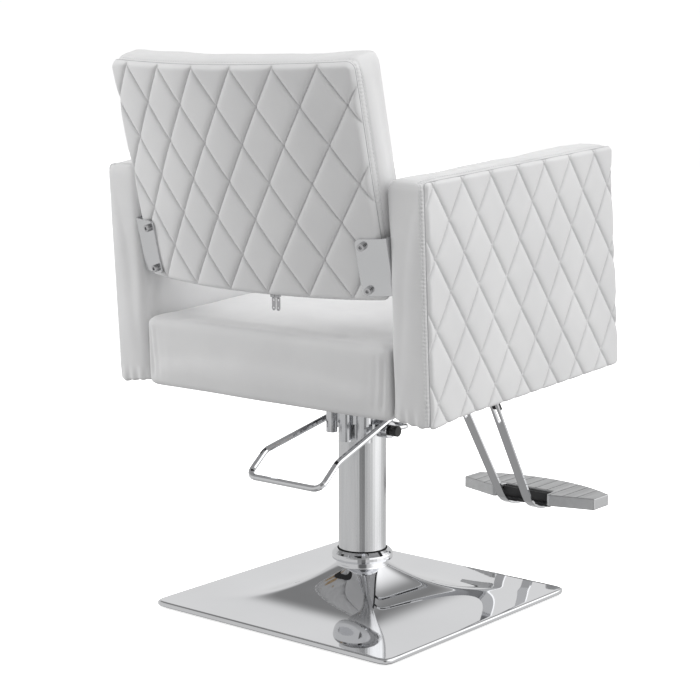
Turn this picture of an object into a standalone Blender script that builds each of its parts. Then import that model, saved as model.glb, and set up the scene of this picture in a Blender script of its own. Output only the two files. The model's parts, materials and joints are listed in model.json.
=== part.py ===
"""Hydraulic styling chair, as separate parts on their real joints.

Metres, +Z up. The origin is on the column's axis at the floor. The sitter faces -Y, and the
sitter's right hand is at -X. Two frames are used besides the world:
- the seat frame, upright coordinates that the seat, arms and their fixings are drawn in, turned
  as a whole by SEAT_TILT about a line across the chair at PIVOT_Z;
- the back frame, whose first axis is X, whose second points out of the back's rear face and
  whose third runs up the back from its lower edge.
"""

from math import asin, atan2, cos, pi, radians, sin, sqrt, tan

import bmesh
import bpy
from mathutils import Matrix, Vector

for old in list(bpy.data.objects):
    bpy.data.objects.remove(old, do_unlink=True)

# ---------------------------------------------------------------- driving dimensions
GAP = 0.0003  # between pieces that touch

BASE_SIDE = 0.470
NECK_R = 0.0405
NECK_Z = 0.0720
RIM_Z = 0.0120
FOOT_H = 0.0042
FLOOR_PLATE_T = 0.0045

COLUMN_R = 0.0380
COLUMN_BOTTOM = 0.0905
COLUMN_TOP = 0.3008
ROD_R = 0.0200
CYLINDER_R = 0.0330

SEAT_TILT = radians(3.07)
PIVOT_Z = 0.400
ARM_OUTER = 0.3088
ARM_INNER = 0.2445
ARM_FRONT, ARM_REAR = -0.2520, 0.2362
ARM_BOTTOM, ARM_TOP = 0.3736, 0.7170
SEAT_BOTTOM, SEAT_TOP = 0.3765, 0.4840
BOARD_BOTTOM, BOARD_T = 0.3785, 0.0180
BOARD_HALF_X, BOARD_FRONT, BOARD_REAR = 0.2320, -0.2400, 0.2250

BACK_RECLINE = radians(13.67)
BACK_Y, BACK_Z = 0.2285, 0.5300
BACK_HALF = 0.2334
BACK_HEIGHT = 0.3406
BACK_T = 0.0720
BACK_PANEL_T = 0.0080
BACK_R = 1.0040  # radius of the back's curve in plan
BACK_BULGE = BACK_R - sqrt(BACK_R**2 - BACK_HALF**2)

ZIP_X = {"right": -0.0388, "left": -0.0300}  # where the two sliders stand, closed
ZIP_DEPTH = 0.0150  # from the line of the back's side edges

LEVER_Z = 0.2870  # the pump lever turns about a line along X at this height
LEVER_ROD_R = 0.0050
HUB_X, HUB_IN = 0.0523, 0.0468
HUB_OUT = {-1: 0.0578, 1: 0.0528}  # the left hub is a plain eye, and the right one carries a cap
YOKE_X = 0.0503
HUB_R = {-1: 0.0130, 1: 0.0088}
STUB_R = 0.0060
PLUNGER_Y = -0.0560
PLUNGER_R = 0.0060

BAR_W, BAR_T = 0.0180, 0.0050
BAR_X = 0.0277  # at the foot
BAR_SPLAY = 0.034  # sideways lean of each bar, per metre of height
BAR_FOOT_Z = 0.0675
FOOTPLATE_HALF = 0.1390
FOOTPLATE_BOTTOM, FOOTPLATE_TOP = 0.0775, 0.0980

PARTS = bpy.data.collections.new("styling_chair")
CUTTERS = bpy.data.collections.new("cutters")
for group in (PARTS, CUTTERS):
    bpy.context.scene.collection.children.link(group)


# ---------------------------------------------------------------- frames and materials
def frame_empty(name, location, rotation=(0, 0, 0), parent=None):
    empty = bpy.data.objects.new(name, None)
    empty.location = location
    empty.rotation_euler = rotation
    empty.parent = parent
    PARTS.objects.link(empty)
    return empty


WORLD = None
SEAT = frame_empty("seat_frame", (0, 0, PIVOT_Z), (-SEAT_TILT, 0, 0))
BACK = frame_empty("back_frame", (0, BACK_Y, BACK_Z), (-BACK_RECLINE, 0, 0))
LEVER = frame_empty("lever_axis", (0, 0, LEVER_Z))
SEAT_INVERSE = Matrix.Translation((0, 0, -PIVOT_Z))
LEVER_INVERSE = Matrix.Translation((0, 0, -LEVER_Z))


def put(obj, frame, group=PARTS):
    """Links an object, whose mesh is in the frame's coordinates, and hangs it on that frame."""
    group.objects.link(obj)
    if frame is not None:
        obj.parent = frame
    if frame is SEAT:
        obj.matrix_parent_inverse = SEAT_INVERSE
    if frame is LEVER:
        obj.matrix_parent_inverse = LEVER_INVERSE
    return obj


def seat_to_world(y, z):
    """World (y, z) of a point of the seat frame."""
    c, s = cos(SEAT_TILT), sin(SEAT_TILT)
    return y * c + (z - PIVOT_Z) * s, -y * s + (z - PIVOT_Z) * c + PIVOT_Z


def material(name, rgb, roughness, metallic=0.0):
    made = bpy.data.materials.new(name)
    made.use_nodes = True
    shader = made.node_tree.nodes["Principled BSDF"]
    shader.inputs["Base Color"].default_value = (*rgb, 1)
    shader.inputs["Roughness"].default_value = roughness
    shader.inputs["Metallic"].default_value = metallic
    made.diffuse_color = (*rgb, 1)
    return made


CHROME = material("chrome", (0.80, 0.80, 0.81), 0.06, 1.0)
BRUSHED = material("brushed_steel", (0.66, 0.66, 0.67), 0.28, 1.0)
STEEL = material("plain_steel", (0.45, 0.45, 0.46), 0.40, 1.0)
BLACK_STEEL = material("black_painted_steel", (0.03, 0.03, 0.03), 0.45)
ALUMINIUM = material("cast_aluminium", (0.62, 0.63, 0.64), 0.38, 1.0)
BRASS = material("bronze_bush", (0.55, 0.38, 0.18), 0.35, 1.0)
RUBBER = material("black_rubber", (0.03, 0.03, 0.03), 0.80)
PLASTIC = material("black_plastic", (0.02, 0.02, 0.02), 0.45)
PLYWOOD = material("plywood", (0.62, 0.46, 0.28), 0.65)
LEATHER = material("white_leather", (0.83, 0.83, 0.82), 0.48)
CLOTH = material("black_dust_cloth", (0.04, 0.04, 0.04), 0.90)
ZIP_METAL = material("zip_metal", (0.55, 0.55, 0.56), 0.30, 1.0)


# ---------------------------------------------------------------- shape helpers
def finish_mesh(name, bm, look, frame, group=PARTS, smooth=30):
    bmesh.ops.recalc_face_normals(bm, faces=bm.faces)
    mesh = bpy.data.meshes.new(name)
    bm.to_mesh(mesh)
    bm.free()
    if look is not None:
        mesh.materials.append(look)
    if smooth:
        mesh.shade_smooth()
        mesh.set_sharp_from_angle(angle=radians(smooth))
    return put(bpy.data.objects.new(name, mesh), frame, group)


def bevel(obj, width, segments=2, angle=40):
    mod = obj.modifiers.new("bevel", "BEVEL")
    mod.width = width
    mod.segments = segments
    mod.limit_method = "ANGLE"
    mod.angle_limit = radians(angle)
    return obj


def box_mesh(lo, hi):
    bm = bmesh.new()
    bmesh.ops.create_cube(bm, size=1)
    lo, hi = Vector(lo), Vector(hi)
    bmesh.ops.scale(bm, vec=hi - lo, verts=bm.verts)
    bmesh.ops.translate(bm, vec=(lo + hi) / 2, verts=bm.verts)
    return bm


def box(name, lo, hi, look, frame=WORLD, group=PARTS):
    return finish_mesh(name, box_mesh(lo, hi), look, frame, group)


def rod_mesh(a, b, r, sides=24, r2=None):
    """A cylinder, or a cone with radius r2 at b, from a to b."""
    a, b = Vector(a), Vector(b)
    bm = bmesh.new()
    bmesh.ops.create_cone(
        bm,
        cap_ends=True,
        segments=sides,
        radius1=r,
        radius2=r if r2 is None else r2,
        depth=(b - a).length,
    )
    turn = Vector((0, 0, 1)).rotation_difference(b - a).to_matrix().to_4x4()
    bmesh.ops.transform(bm, matrix=Matrix.Translation((a + b) / 2) @ turn, verts=bm.verts)
    return bm


def cylinder(name, a, b, r, look, frame=WORLD, group=PARTS, sides=24, r2=None):
    return finish_mesh(name, rod_mesh(a, b, r, sides, r2), look, frame, group)


def boolean(obj, other, operation):
    mod = obj.modifiers.new(operation.lower(), "BOOLEAN")
    mod.operation = operation
    mod.solver = "EXACT"
    mod.object = other
    other.hide_render = True
    other.display_type = "WIRE"
    return obj


def cut(obj, cutter):
    return boolean(obj, cutter, "DIFFERENCE")


def weld(obj, other):
    return boolean(obj, other, "UNION")


def drill(obj, a, b, r, frame=WORLD, sides=16):
    hole = cylinder(f"hole_in_{obj.name}", a, b, r, None, frame, CUTTERS, sides)
    return cut(obj, hole)


def pocket(obj, lo, hi, frame=WORLD):
    return cut(obj, box(f"pocket_in_{obj.name}", lo, hi, None, frame, CUTTERS))


def turned(name, profile, look, steps=40, centre=(0, 0), frame=WORLD, group=PARTS):
    """A ring or disc turned about a vertical line: the profile's (r, z) points are a closed
    outline, running down its outer side. A profile that ends on the axis is left open there."""
    bm = bmesh.new()
    verts = [bm.verts.new((r, 0, z)) for r, z in profile]
    on_axis = profile[0][0] == 0 and profile[-1][0] == 0
    for a, b in zip(verts, verts[1:] if on_axis else verts[1:] + verts[:1]):
        bm.edges.new((a, b))
    mesh = bpy.data.meshes.new(name)
    bm.to_mesh(mesh)
    bm.free()
    mesh.materials.append(look)
    obj = bpy.data.objects.new(name, mesh)
    obj.location = (*centre, 0)
    mod = obj.modifiers.new("turn", "SCREW")
    mod.axis = "Z"
    mod.angle = 2 * pi
    mod.steps = steps
    mod.render_steps = steps
    mod.use_merge_vertices = True
    mod.merge_threshold = 0.00001
    mod.use_smooth_shade = True
    return put(obj, frame, group)


def filleted(points, radii, step=radians(18)):
    """The points of a path through corners, with an arc of its own radius at each inner one."""
    path = [Vector(points[0])]
    for before, corner, after, r in zip(points, points[1:], points[2:], radii):
        before, corner, after = Vector(before), Vector(corner), Vector(after)
        into, out = (corner - before).normalized(), (after - corner).normalized()
        turn = into.angle(out)
        if r == 0 or turn < 1e-4:
            path.append(corner)
            continue
        reach = r * tan(turn / 2)
        start = corner - into * reach
        side = (out - into * out.dot(into)).normalized()
        count = max(2, round(turn / step))
        for i in range(count + 1):
            a = turn * i / count
            path.append(start + into * (r * sin(a)) + side * (r * (1 - cos(a))))
    path.append(Vector(points[-1]))
    return path


def wire(name, path, r, look, frame=WORLD, group=PARTS, resolution=2, cyclic=False):
    """A round bar along a path, as a mesh with its end caps welded on."""
    curve = bpy.data.curves.new(name, "CURVE")
    curve.dimensions = "3D"
    curve.bevel_depth = r
    curve.bevel_resolution = resolution
    curve.use_fill_caps = True
    spline = curve.splines.new("POLY")
    spline.points.add(len(path) - 1)
    spline.use_cyclic_u = cyclic
    for point, place in zip(spline.points, path):
        point.co = (*place, 1)
    guide = bpy.data.objects.new(f"{name}_guide", curve)
    bpy.context.scene.collection.objects.link(guide)
    graph = bpy.context.evaluated_depsgraph_get()
    mesh = bpy.data.meshes.new_from_object(guide.evaluated_get(graph))
    bpy.data.objects.remove(guide, do_unlink=True)
    bm = bmesh.new()
    bm.from_mesh(mesh)
    bmesh.ops.remove_doubles(bm, verts=bm.verts, dist=0.00001)
    return finish_mesh(name, bm, look, frame, group)


def extruded(name, outline, axis, lo, hi, look, frame=WORLD, group=PARTS):
    """A flat outline of 2-D points pushed from lo to hi along an axis, X or Z."""
    bm = bmesh.new()

    def at(u, v, w):
        return (w, u, v) if axis == "X" else (u, v, w)

    bottom = [bm.verts.new(at(u, v, lo)) for u, v in outline]
    top = [bm.verts.new(at(u, v, hi)) for u, v in outline]
    bm.faces.new(bottom)
    bm.faces.new(top)
    count = len(outline)
    for i in range(count):
        j = (i + 1) % count
        bm.faces.new((bottom[i], bottom[j], top[j], top[i]))
    return finish_mesh(name, bm, look, frame, group)


def strip_outline(path, thickness):
    """The outline in YZ of a bent strip whose centre line is the path."""
    near, far = [], []
    for i, point in enumerate(path):
        along = (path[min(i + 1, len(path) - 1)] - path[max(i - 1, 0)]).normalized()
        across = Vector((0, -along.z, along.y)) * (thickness / 2)
        near.append(point + across)
        far.append(point - across)
    return [(p.y, p.z) for p in near + far[::-1]]


def hex_bolt(name, head_at, tip, head_r, head_h, shaft_r, look, frame=WORLD, sides=6, socket=0):
    """A bolt whose head sits at head_at, outside the piece, with its shaft reaching to tip."""
    head_at, tip = Vector(head_at), Vector(tip)
    out = (head_at - tip).normalized()
    head = cylinder(name, head_at, head_at + out * head_h, head_r, look, frame, sides=sides)
    shaft = cylinder(
        f"{name}_shaft", tip, head_at + out * head_h / 2, shaft_r, look, frame, CUTTERS, 12
    )
    weld(head, shaft)
    if socket:
        top = head_at + out * head_h
        drill(head, top - out * head_h * 0.55, top + out * 0.002, socket, frame, 6)
    return head


# ---------------------------------------------------------------- base
def superellipse(angle, reach, power):
    c, s = abs(cos(angle)), abs(sin(angle))
    return reach / (c**power + s**power) ** (1 / power)


def base_shell():
    """A pressed pan: a round neck that opens through four ridges into a square, rolled rim."""
    half = BASE_SIDE / 2
    columns = []
    for quarter in range(4):
        for share in (0, 0.28, 0.55, 0.77, 0.90, 0.96, 1, 1.04, 1.10, 1.23, 1.45, 1.72):
            columns.append(quarter * pi / 2 + share * pi / 4)
    rings = [(NECK_R, NECK_Z, 2.0), (NECK_R + 0.0008, NECK_Z - 0.006, 2.0)]
    for t in (0.03, 0.07, 0.12, 0.19, 0.28, 0.40, 0.56, 0.76, 0.97):
        height = RIM_Z + (NECK_Z - 0.008 - RIM_Z) * (1 - t) ** 4.3
        rings.append((NECK_R + (half - NECK_R) * t, height, 2.1 + 38 * t**1.1))
    rings.append((half - 0.0016, RIM_Z - 0.0010, 40))
    rings.append((half, RIM_Z - 0.0038, 40))
    rings.append((half - 0.0004, RIM_Z - 0.0085, 40))
    bm = bmesh.new()
    grid = []
    for reach, z, power in rings:
        ring = []
        for angle in columns:
            r = superellipse(angle, reach, power)
            ring.append(bm.verts.new((r * cos(angle), r * sin(angle), z)))
        grid.append(ring)
    count = len(columns)
    for inner, outer in zip(grid, grid[1:]):
        for i in range(count):
            j = (i + 1) % count
            bm.faces.new((inner[i], outer[i], outer[j], inner[j]))
    mesh = bpy.data.meshes.new("base_shell")
    bm.to_mesh(mesh)
    bm.free()
    mesh.materials.append(CHROME)
    mesh.shade_smooth()
    obj = put(bpy.data.objects.new("base_shell", mesh), WORLD)
    mod = obj.modifiers.new("sheet", "SOLIDIFY")
    mod.thickness = 0.0018
    mod.offset = -1
    return obj


def build_base():
    base_shell()
    half, corner_r = BASE_SIDE / 2 - 0.0045, 0.0220
    plate_z = FOOT_H + GAP
    plate_top = plate_z + FLOOR_PLATE_T
    outline = []
    for quarter in range(4):
        for i in range(5):
            a = (quarter + i / 4) * pi / 2
            turn = (quarter + 0.5) * pi / 2
            x = (half - corner_r) * (1 if cos(turn) > 0 else -1) + corner_r * cos(a)
            y = (half - corner_r) * (1 if sin(turn) > 0 else -1) + corner_r * sin(a)
            outline.append((x, y))
    extruded("base_floor_plate", outline, "Z", plate_z, plate_top, BLACK_STEEL)

    cavity_r = 0.0310
    bottom = plate_top + GAP
    turned(
        "base_hub",
        [
            (cavity_r, 0.0722),
            (NECK_R - 0.0025, 0.0722),
            (NECK_R - 0.0025, 0.0220),
            (0.0425, 0.0170),
            (0.0665, 0.0165),
            (0.0665, bottom),
            (cavity_r, bottom),
        ],
        STEEL,
    )
    turned(
        "swivel_bearing",
        [(0.0300, 0.0145), (0.0300, bottom), (0.0100, bottom), (0.0100, 0.0145)],
        STEEL,
        steps=24,
    )
    turned(
        "spindle_bush",
        [(0.0306, 0.0720), (0.0306, 0.0238), (0.0203, 0.0238), (0.0203, 0.0720)],
        BRASS,
        steps=24,
    )
    turned(
        "collar_ring",
        [
            (0.0402, 0.0892),
            (0.0414, 0.0894),
            (0.0452, 0.0864),
            (0.0478, 0.0836),
            (0.0489, 0.0812),
            (0.0490, 0.0770),
            (0.0484, 0.0742),
            (0.0466, 0.0728),
            (0.0440, 0.0724),
            (0.0402, 0.0724),
        ],
        CHROME,
        steps=48,
    )
    turned(
        "dust_seal",
        [
            (0.0345, 0.0898),
            (0.0372, 0.0892),
            (0.0398, 0.0862),
            (0.0398, 0.0728),
            (0.0204, 0.0728),
            (0.0204, 0.0898),
        ],
        RUBBER,
        steps=32,
    )
    for side_x, across in ((-1, "right"), (1, "left")):
        for side_y, along in ((-1, "front"), (1, "rear")):
            at = (side_x * 0.155, side_y * 0.205)
            foot = cylinder(
                f"foot_{along}_{across}", (*at, 0), (*at, FOOT_H), 0.0130, RUBBER, sides=20
            )
            bevel(foot, 0.0008, 1)
    bevel(cylinder("foot_centre", (0, 0, 0), (0, 0, FOOT_H), 0.0300, RUBBER), 0.0008, 1)


# ---------------------------------------------------------------- column
def build_spindle():
    turned(
        "piston_rod",
        [
            (0, 0.2560),
            (0.0098, 0.2560),
            (0.0100, 0.2300),
            (ROD_R, 0.2296),
            (ROD_R, 0.0234),
            (0.0290, 0.0232),
            (0.0290, 0.0149),
            (0.0096, 0.0149),
            (0.0096, 0.0094),
            (0, 0.0094),
        ],
        CHROME,
        steps=32,
    )
    turned(
        "piston",
        [(0.0280, 0.2480), (0.0280, 0.2303), (0.0103, 0.2303), (0.0103, 0.2480)],
        STEEL,
        steps=24,
    )


def build_column():
    turned(
        "column_tube",
        [
            (COLUMN_R - 0.0004, COLUMN_TOP),
            (COLUMN_R, COLUMN_TOP - 0.0004),
            (COLUMN_R, COLUMN_BOTTOM + 0.0006),
            (COLUMN_R - 0.0006, COLUMN_BOTTOM),
            (COLUMN_R - 0.0020, COLUMN_BOTTOM),
            (COLUMN_R - 0.0020, COLUMN_TOP),
        ],
        BRUSHED,
        steps=56,
    )
    turned(
        "cylinder_tube",
        [(CYLINDER_R, 0.3280), (CYLINDER_R, 0.1000), (0.0286, 0.1000), (0.0286, 0.3280)],
        STEEL,
        steps=32,
    )
    turned(
        "cylinder_gland",
        [(0.0356, 0.0997), (0.0356, 0.0905), (0.0204, 0.0905), (0.0204, 0.0997)],
        STEEL,
        steps=28,
    )
    pump_head()
    plate = box(
        "seat_mounting_plate", (-0.110, -0.100, 0.3732), (0.110, 0.100, 0.3782), STEEL, SEAT
    )
    bevel(plate, 0.0012, 1)
    head = bpy.data.objects["pump_head"]
    for side_x, across in ((-1, "right"), (1, "left")):
        for side_y, along in ((-1, "front"), (1, "rear")):
            x, y = side_x * 0.043, side_y * 0.043
            drill(head, (x, y, 0.355), (x, y, 0.380), 0.0044, SEAT, 12)
            drill(plate, (x, y, 0.360), (x, y, 0.380), 0.0044, SEAT, 12)
            hex_bolt(
                f"pump_bolt_{along}_{across}",
                (x, y, 0.3629),
                (x, y, 0.3778),
                0.0075,
                0.0055,
                0.0040,
                STEEL,
                SEAT,
            )


def pump_head():
    """A casting: a collar on the column, the barrels that hang round it, two ears that carry the
    lever's stubs and a tilted flange that the seat's plate bolts to."""
    head = cylinder("pump_head", (0, 0, 0.2965), (0, 0, 0.3370), 0.0445, CHROME, sides=40)
    bevel(head, 0.0012, 1)
    taper = cylinder(
        "head_taper", (0, 0, 0.3300), (0, 0, 0.3660), 0.0362, None, SEAT, CUTTERS, 30, 0.0355
    )
    flange = box(
        "head_flange", (-0.056, -0.056, 0.3632), (0.056, 0.056, 0.3729), None, SEAT, CUTTERS
    )
    bevel(flange, 0.0020, 2)
    weld(head, taper)
    weld(head, flange)
    barrels = (
        ("rear", (-0.0060, 0.0486), 0.0100, 0.2715),
        ("valve", (-0.0345, 0.0377), 0.0125, 0.2715),
        ("web", (0.0330, 0.0357), 0.0090, 0.2790),
    )
    for label, (x, y), r, low in barrels:
        barrel = cylinder(
            f"head_barrel_{label}", (x, y, low), (x, y, 0.3440), r, None, WORLD, CUTTERS, 20
        )
        weld(head, barrel)
    front = cylinder(
        "head_barrel_plunger",
        (0, PLUNGER_Y, 0.3100),
        (0, PLUNGER_Y, 0.3700),
        0.0128,
        None,
        WORLD,
        CUTTERS,
        20,
    )
    weld(head, front)
    web = box(
        "head_web", (-0.0060, PLUNGER_Y, 0.3120), (0.0060, -0.0390, 0.3350), None, WORLD, CUTTERS
    )
    weld(head, web)
    for side in (-1, 1):
        x0, x1 = side * 0.0395, side * 0.0460
        lug = cylinder(
            "head_lug", (x0, 0, LEVER_Z), (x1, 0, LEVER_Z), HUB_R[side], None, WORLD, CUTTERS, 24
        )
        ear = box(
            "head_ear",
            (min(x0, x1), -0.9 * HUB_R[side], LEVER_Z),
            (max(x0, x1), 0.9 * HUB_R[side], 0.3020),
            None,
            WORLD,
            CUTTERS,
        )
        stub = cylinder(
            "head_stub",
            (side * 0.0420, 0, LEVER_Z),
            (side * (0.0670 if side < 0 else 0.0554), 0, LEVER_Z),
            STUB_R,
            None,
            WORLD,
            CUTTERS,
            20,
        )
        for piece in (lug, ear, stub):
            weld(head, piece)
    drill(head, (0, 0, 0.2900), (0, 0, COLUMN_TOP + GAP), COLUMN_R + GAP, sides=48)
    drill(head, (0, 0, 0.2900), (0, 0, 0.3286), CYLINDER_R + GAP, sides=32)
    drill(head, (0, PLUNGER_Y, 0.3000), (0, PLUNGER_Y, 0.3560), PLUNGER_R + 0.0004, sides=20)
    return head


def build_lever():
    """The loop, its two hubs and the yoke in front of the column are one welded piece."""
    half = [
        (HUB_X, -0.0060, LEVER_Z + 0.0170),
        (0.0721, 0.1487, 0.2631),
        (0.0727, 0.1894, 0.2296),
    ]
    corners = half + [(-x, y, z) for x, y, z in reversed(half)]
    loop = wire(
        "pump_lever",
        filleted(corners, (0.024, 0.015, 0.015, 0.024)),
        LEVER_ROD_R,
        CHROME,
        LEVER,
        resolution=3,
    )
    yoke_path = filleted(
        [
            (YOKE_X, 0, LEVER_Z),
            (YOKE_X, PLUNGER_Y, LEVER_Z - 0.0030),
            (-YOKE_X, PLUNGER_Y, LEVER_Z - 0.0030),
            (-YOKE_X, 0, LEVER_Z),
        ],
        (0.012, 0.012),
        radians(22),
    )
    weld(loop, wire("lever_yoke", yoke_path, 0.0040, None, LEVER, CUTTERS, 2))
    for side in (-1, 1):
        a, b = side * HUB_IN, side * HUB_OUT[side]
        hub = cylinder(
            "lever_hub", (a, 0, LEVER_Z), (b, 0, LEVER_Z), HUB_R[side], None, LEVER, CUTTERS, 28
        )
        weld(loop, hub)
    for side in (-1, 1):
        a, b = side * (HUB_X - 0.0080), side * (HUB_X + 0.0080)
        drill(loop, (a, 0, LEVER_Z), (b, 0, LEVER_Z), STUB_R + GAP, LEVER, 20)
    for side, label, inner, outer, r, stub in (
        (-1, "right", 0.0590, 0.0722, 0.0085, 0.0674),
        (1, "left", 0.0547, 0.0567, 0.0074, 0.0558),
    ):
        a, b = side * inner, side * outer
        cap = cylinder(
            f"lever_end_cap_{label}", (a, 0, LEVER_Z), (b, 0, LEVER_Z), r, PLASTIC, sides=24
        )
        bevel(cap, 0.0006, 1)
        drill(cap, (side * 0.0500, 0, LEVER_Z), (side * stub, 0, LEVER_Z), STUB_R + GAP)
    cylinder(
        "pump_plunger",
        (0, PLUNGER_Y, LEVER_Z + 0.0013),
        (0, PLUNGER_Y, 0.3160),
        PLUNGER_R,
        STEEL,
        sides=16,
    )
    turns, per_turn, low, high = 6, 8, 0.3170, 0.3545
    coil = []
    for i in range(turns * per_turn + 1):
        a = 2 * pi * i / per_turn
        z = low + (high - low) * i / (turns * per_turn)
        coil.append(Vector((0.0048 * cos(a), PLUNGER_Y + 0.0048 * sin(a), z)))
    wire("plunger_spring", coil, 0.0006, STEEL, resolution=1)


# ---------------------------------------------------------------- seat and arms
def build_seat():
    board_top = BOARD_BOTTOM + BOARD_T
    box(
        "seat_board",
        (-BOARD_HALF_X, BOARD_FRONT, BOARD_BOTTOM),
        (BOARD_HALF_X, BOARD_REAR, board_top),
        PLYWOOD,
        SEAT,
    )
    cushion = box(
        "seat_cushion",
        (-ARM_INNER + 0.0007, ARM_FRONT + 0.001, SEAT_BOTTOM),
        (ARM_INNER - 0.0007, ARM_REAR - 0.001, SEAT_TOP),
        LEATHER,
        SEAT,
    )
    bevel(cushion, 0.0140, 3)
    pocket(
        cushion,
        (-BOARD_HALF_X - GAP, BOARD_FRONT - GAP, SEAT_BOTTOM - 0.01),
        (BOARD_HALF_X + GAP, BOARD_REAR + GAP, board_top + GAP),
        SEAT,
    )
    cover = box(
        "dust_cover",
        (-BOARD_HALF_X, -0.1450, 0.3768),
        (BOARD_HALF_X, BOARD_REAR, 0.3782),
        CLOTH,
        SEAT,
    )
    pocket(cover, (-0.1104, -0.1004, 0.370), (0.1104, 0.1004, 0.380), SEAT)


def arm(side, label):
    """Arms are padded boxes on a board: the outer face is flat with sharp seams, and the other
    edges are well rounded."""
    lo = (min(side * ARM_INNER, side * ARM_OUTER), ARM_FRONT, ARM_BOTTOM)
    hi = (max(side * ARM_INNER, side * ARM_OUTER), ARM_REAR, ARM_TOP)
    bm = box_mesh(lo, hi)
    inner = [
        e
        for e in bm.edges
        if all(abs(abs(v.co.x) - ARM_INNER) < 1e-6 for v in e.verts)
        and any(v.co.z > ARM_BOTTOM + 0.01 for v in e.verts)
    ]
    bmesh.ops.bevel(
        bm, geom=inner, offset=0.022, segments=3, profile=0.5, affect="EDGES", clamp_overlap=True
    )
    pad = finish_mesh(f"arm_pad_{label}", bm, LEATHER, SEAT)
    x0, x1 = side * 0.2620, side * 0.2920
    lo = (min(x0, x1), -0.2250, ARM_BOTTOM + 0.0010)
    hi = (max(x0, x1), 0.2100, 0.6800)
    box(f"arm_board_{label}", lo, hi, PLYWOOD, SEAT)
    pocket(
        pad,
        (lo[0] - GAP, lo[1] - GAP, ARM_BOTTOM - 0.01),
        (hi[0] + GAP, hi[1] + GAP, hi[2] + GAP),
        SEAT,
    )


def build_arms():
    for side, label in ((-1, "right"), (1, "left")):
        arm(side, label)
    bar_z = (0.3692, 0.3729)
    rear = box(
        "tie_bar_rear", (-0.285, 0.135, bar_z[0]), (0.285, 0.165, bar_z[1]), BLACK_STEEL, SEAT
    )
    bevel(rear, 0.0010, 1)


# ---------------------------------------------------------------- back
def back_y(x):
    """How far the back's rear face stands out at x, from its two side edges."""
    return sqrt(BACK_R**2 - x**2) - (BACK_R - BACK_BULGE)


def curved_slab(name, half, y0, y1, z0, z1, look, group=PARTS, columns=14):
    """A slab that follows the back's curve: y0 and y1 are depths from the rear face."""
    bm = bmesh.new()
    rings = []
    for i in range(columns + 1):
        x = -half + 2 * half * i / columns
        y = back_y(x)
        corners = ((y + y0, z0), (y + y1, z0), (y + y1, z1), (y + y0, z1))
        rings.append([bm.verts.new((x, *corner)) for corner in corners])
    for a, b in zip(rings, rings[1:]):
        for k in range(4):
            m = (k + 1) % 4
            bm.faces.new((a[k], a[m], b[m], b[k]))
    bm.faces.new(rings[0])
    bm.faces.new(rings[-1])
    return finish_mesh(name, bm, look, BACK, group)


def back_screw_place(side, z):
    """The seat of a rear screw on its bracket, and the direction out of the bracket."""
    tangent = bracket_tangent()
    x = 0.2080
    y = bracket_line(x) + 0.0030 / cos(tangent)
    return Vector((side * x, y, z)), Vector((side * sin(tangent), cos(tangent), 0))


def bracket_tangent():
    return asin(0.2179 / BACK_R)


def bracket_line(x):
    """The bracket's inner face, a flat laid on the back's curve near its side edge."""
    mid = 0.2179
    return back_y(mid) + 0.0008 - tan(bracket_tangent()) * (x - mid)


def bracket(side, label):
    """An angle of 3 mm plate: one leg on the rear of the back, with rounded corners, and the
    other forward along the inside of the arm."""
    plate_t, corner_r, z0, z1 = 0.0030, 0.0075, 0.0100, 0.0935
    leg_x = 0.2410
    inner = 0.1965
    path = [Vector((inner, bracket_line(inner), 0))]
    stations = [corner_r * (1 - cos(a * pi / 8)) for a in range(5)]
    direction = Vector((cos(bracket_tangent()), -sin(bracket_tangent()), 0))
    path = [path[0] + direction * d for d in stations]
    trims = [corner_r - sqrt(max(0, corner_r**2 - (corner_r - d) ** 2)) for d in stations]
    fold = Vector((leg_x, bracket_line(leg_x), 0))
    end = Vector((leg_x, -0.0560, 0))
    for point in filleted([path[-1], fold, end], (0.0035,), radians(26))[1:]:
        path.append(point)
        trims.append(0)
    end_stations = [corner_r * (1 - cos(a * pi / 8)) for a in range(4, -1, -1)]
    path.pop()
    trims.pop()
    for d in end_stations:
        path.append(end + Vector((0, d, 0)))
        trims.append(corner_r - sqrt(max(0, corner_r**2 - (corner_r - d) ** 2)))
    bm = bmesh.new()
    rows = []
    for point, trim in zip(path, trims):
        low = bm.verts.new((side * point.x, point.y, z0 + trim))
        high = bm.verts.new((side * point.x, point.y, z1 - trim))
        rows.append((low, high))
    for a, b in zip(rows, rows[1:]):
        face = (a[0], b[0], b[1], a[1])
        bm.faces.new(face[::-1] if side > 0 else face)
    mesh = bpy.data.meshes.new(f"back_bracket_{label}")
    bm.normal_update()
    bm.to_mesh(mesh)
    bm.free()
    mesh.materials.append(CHROME)
    obj = put(bpy.data.objects.new(f"back_bracket_{label}", mesh), BACK)
    mod = obj.modifiers.new("plate", "SOLIDIFY")
    mod.thickness = plate_t
    mod.offset = 1
    return obj


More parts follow.
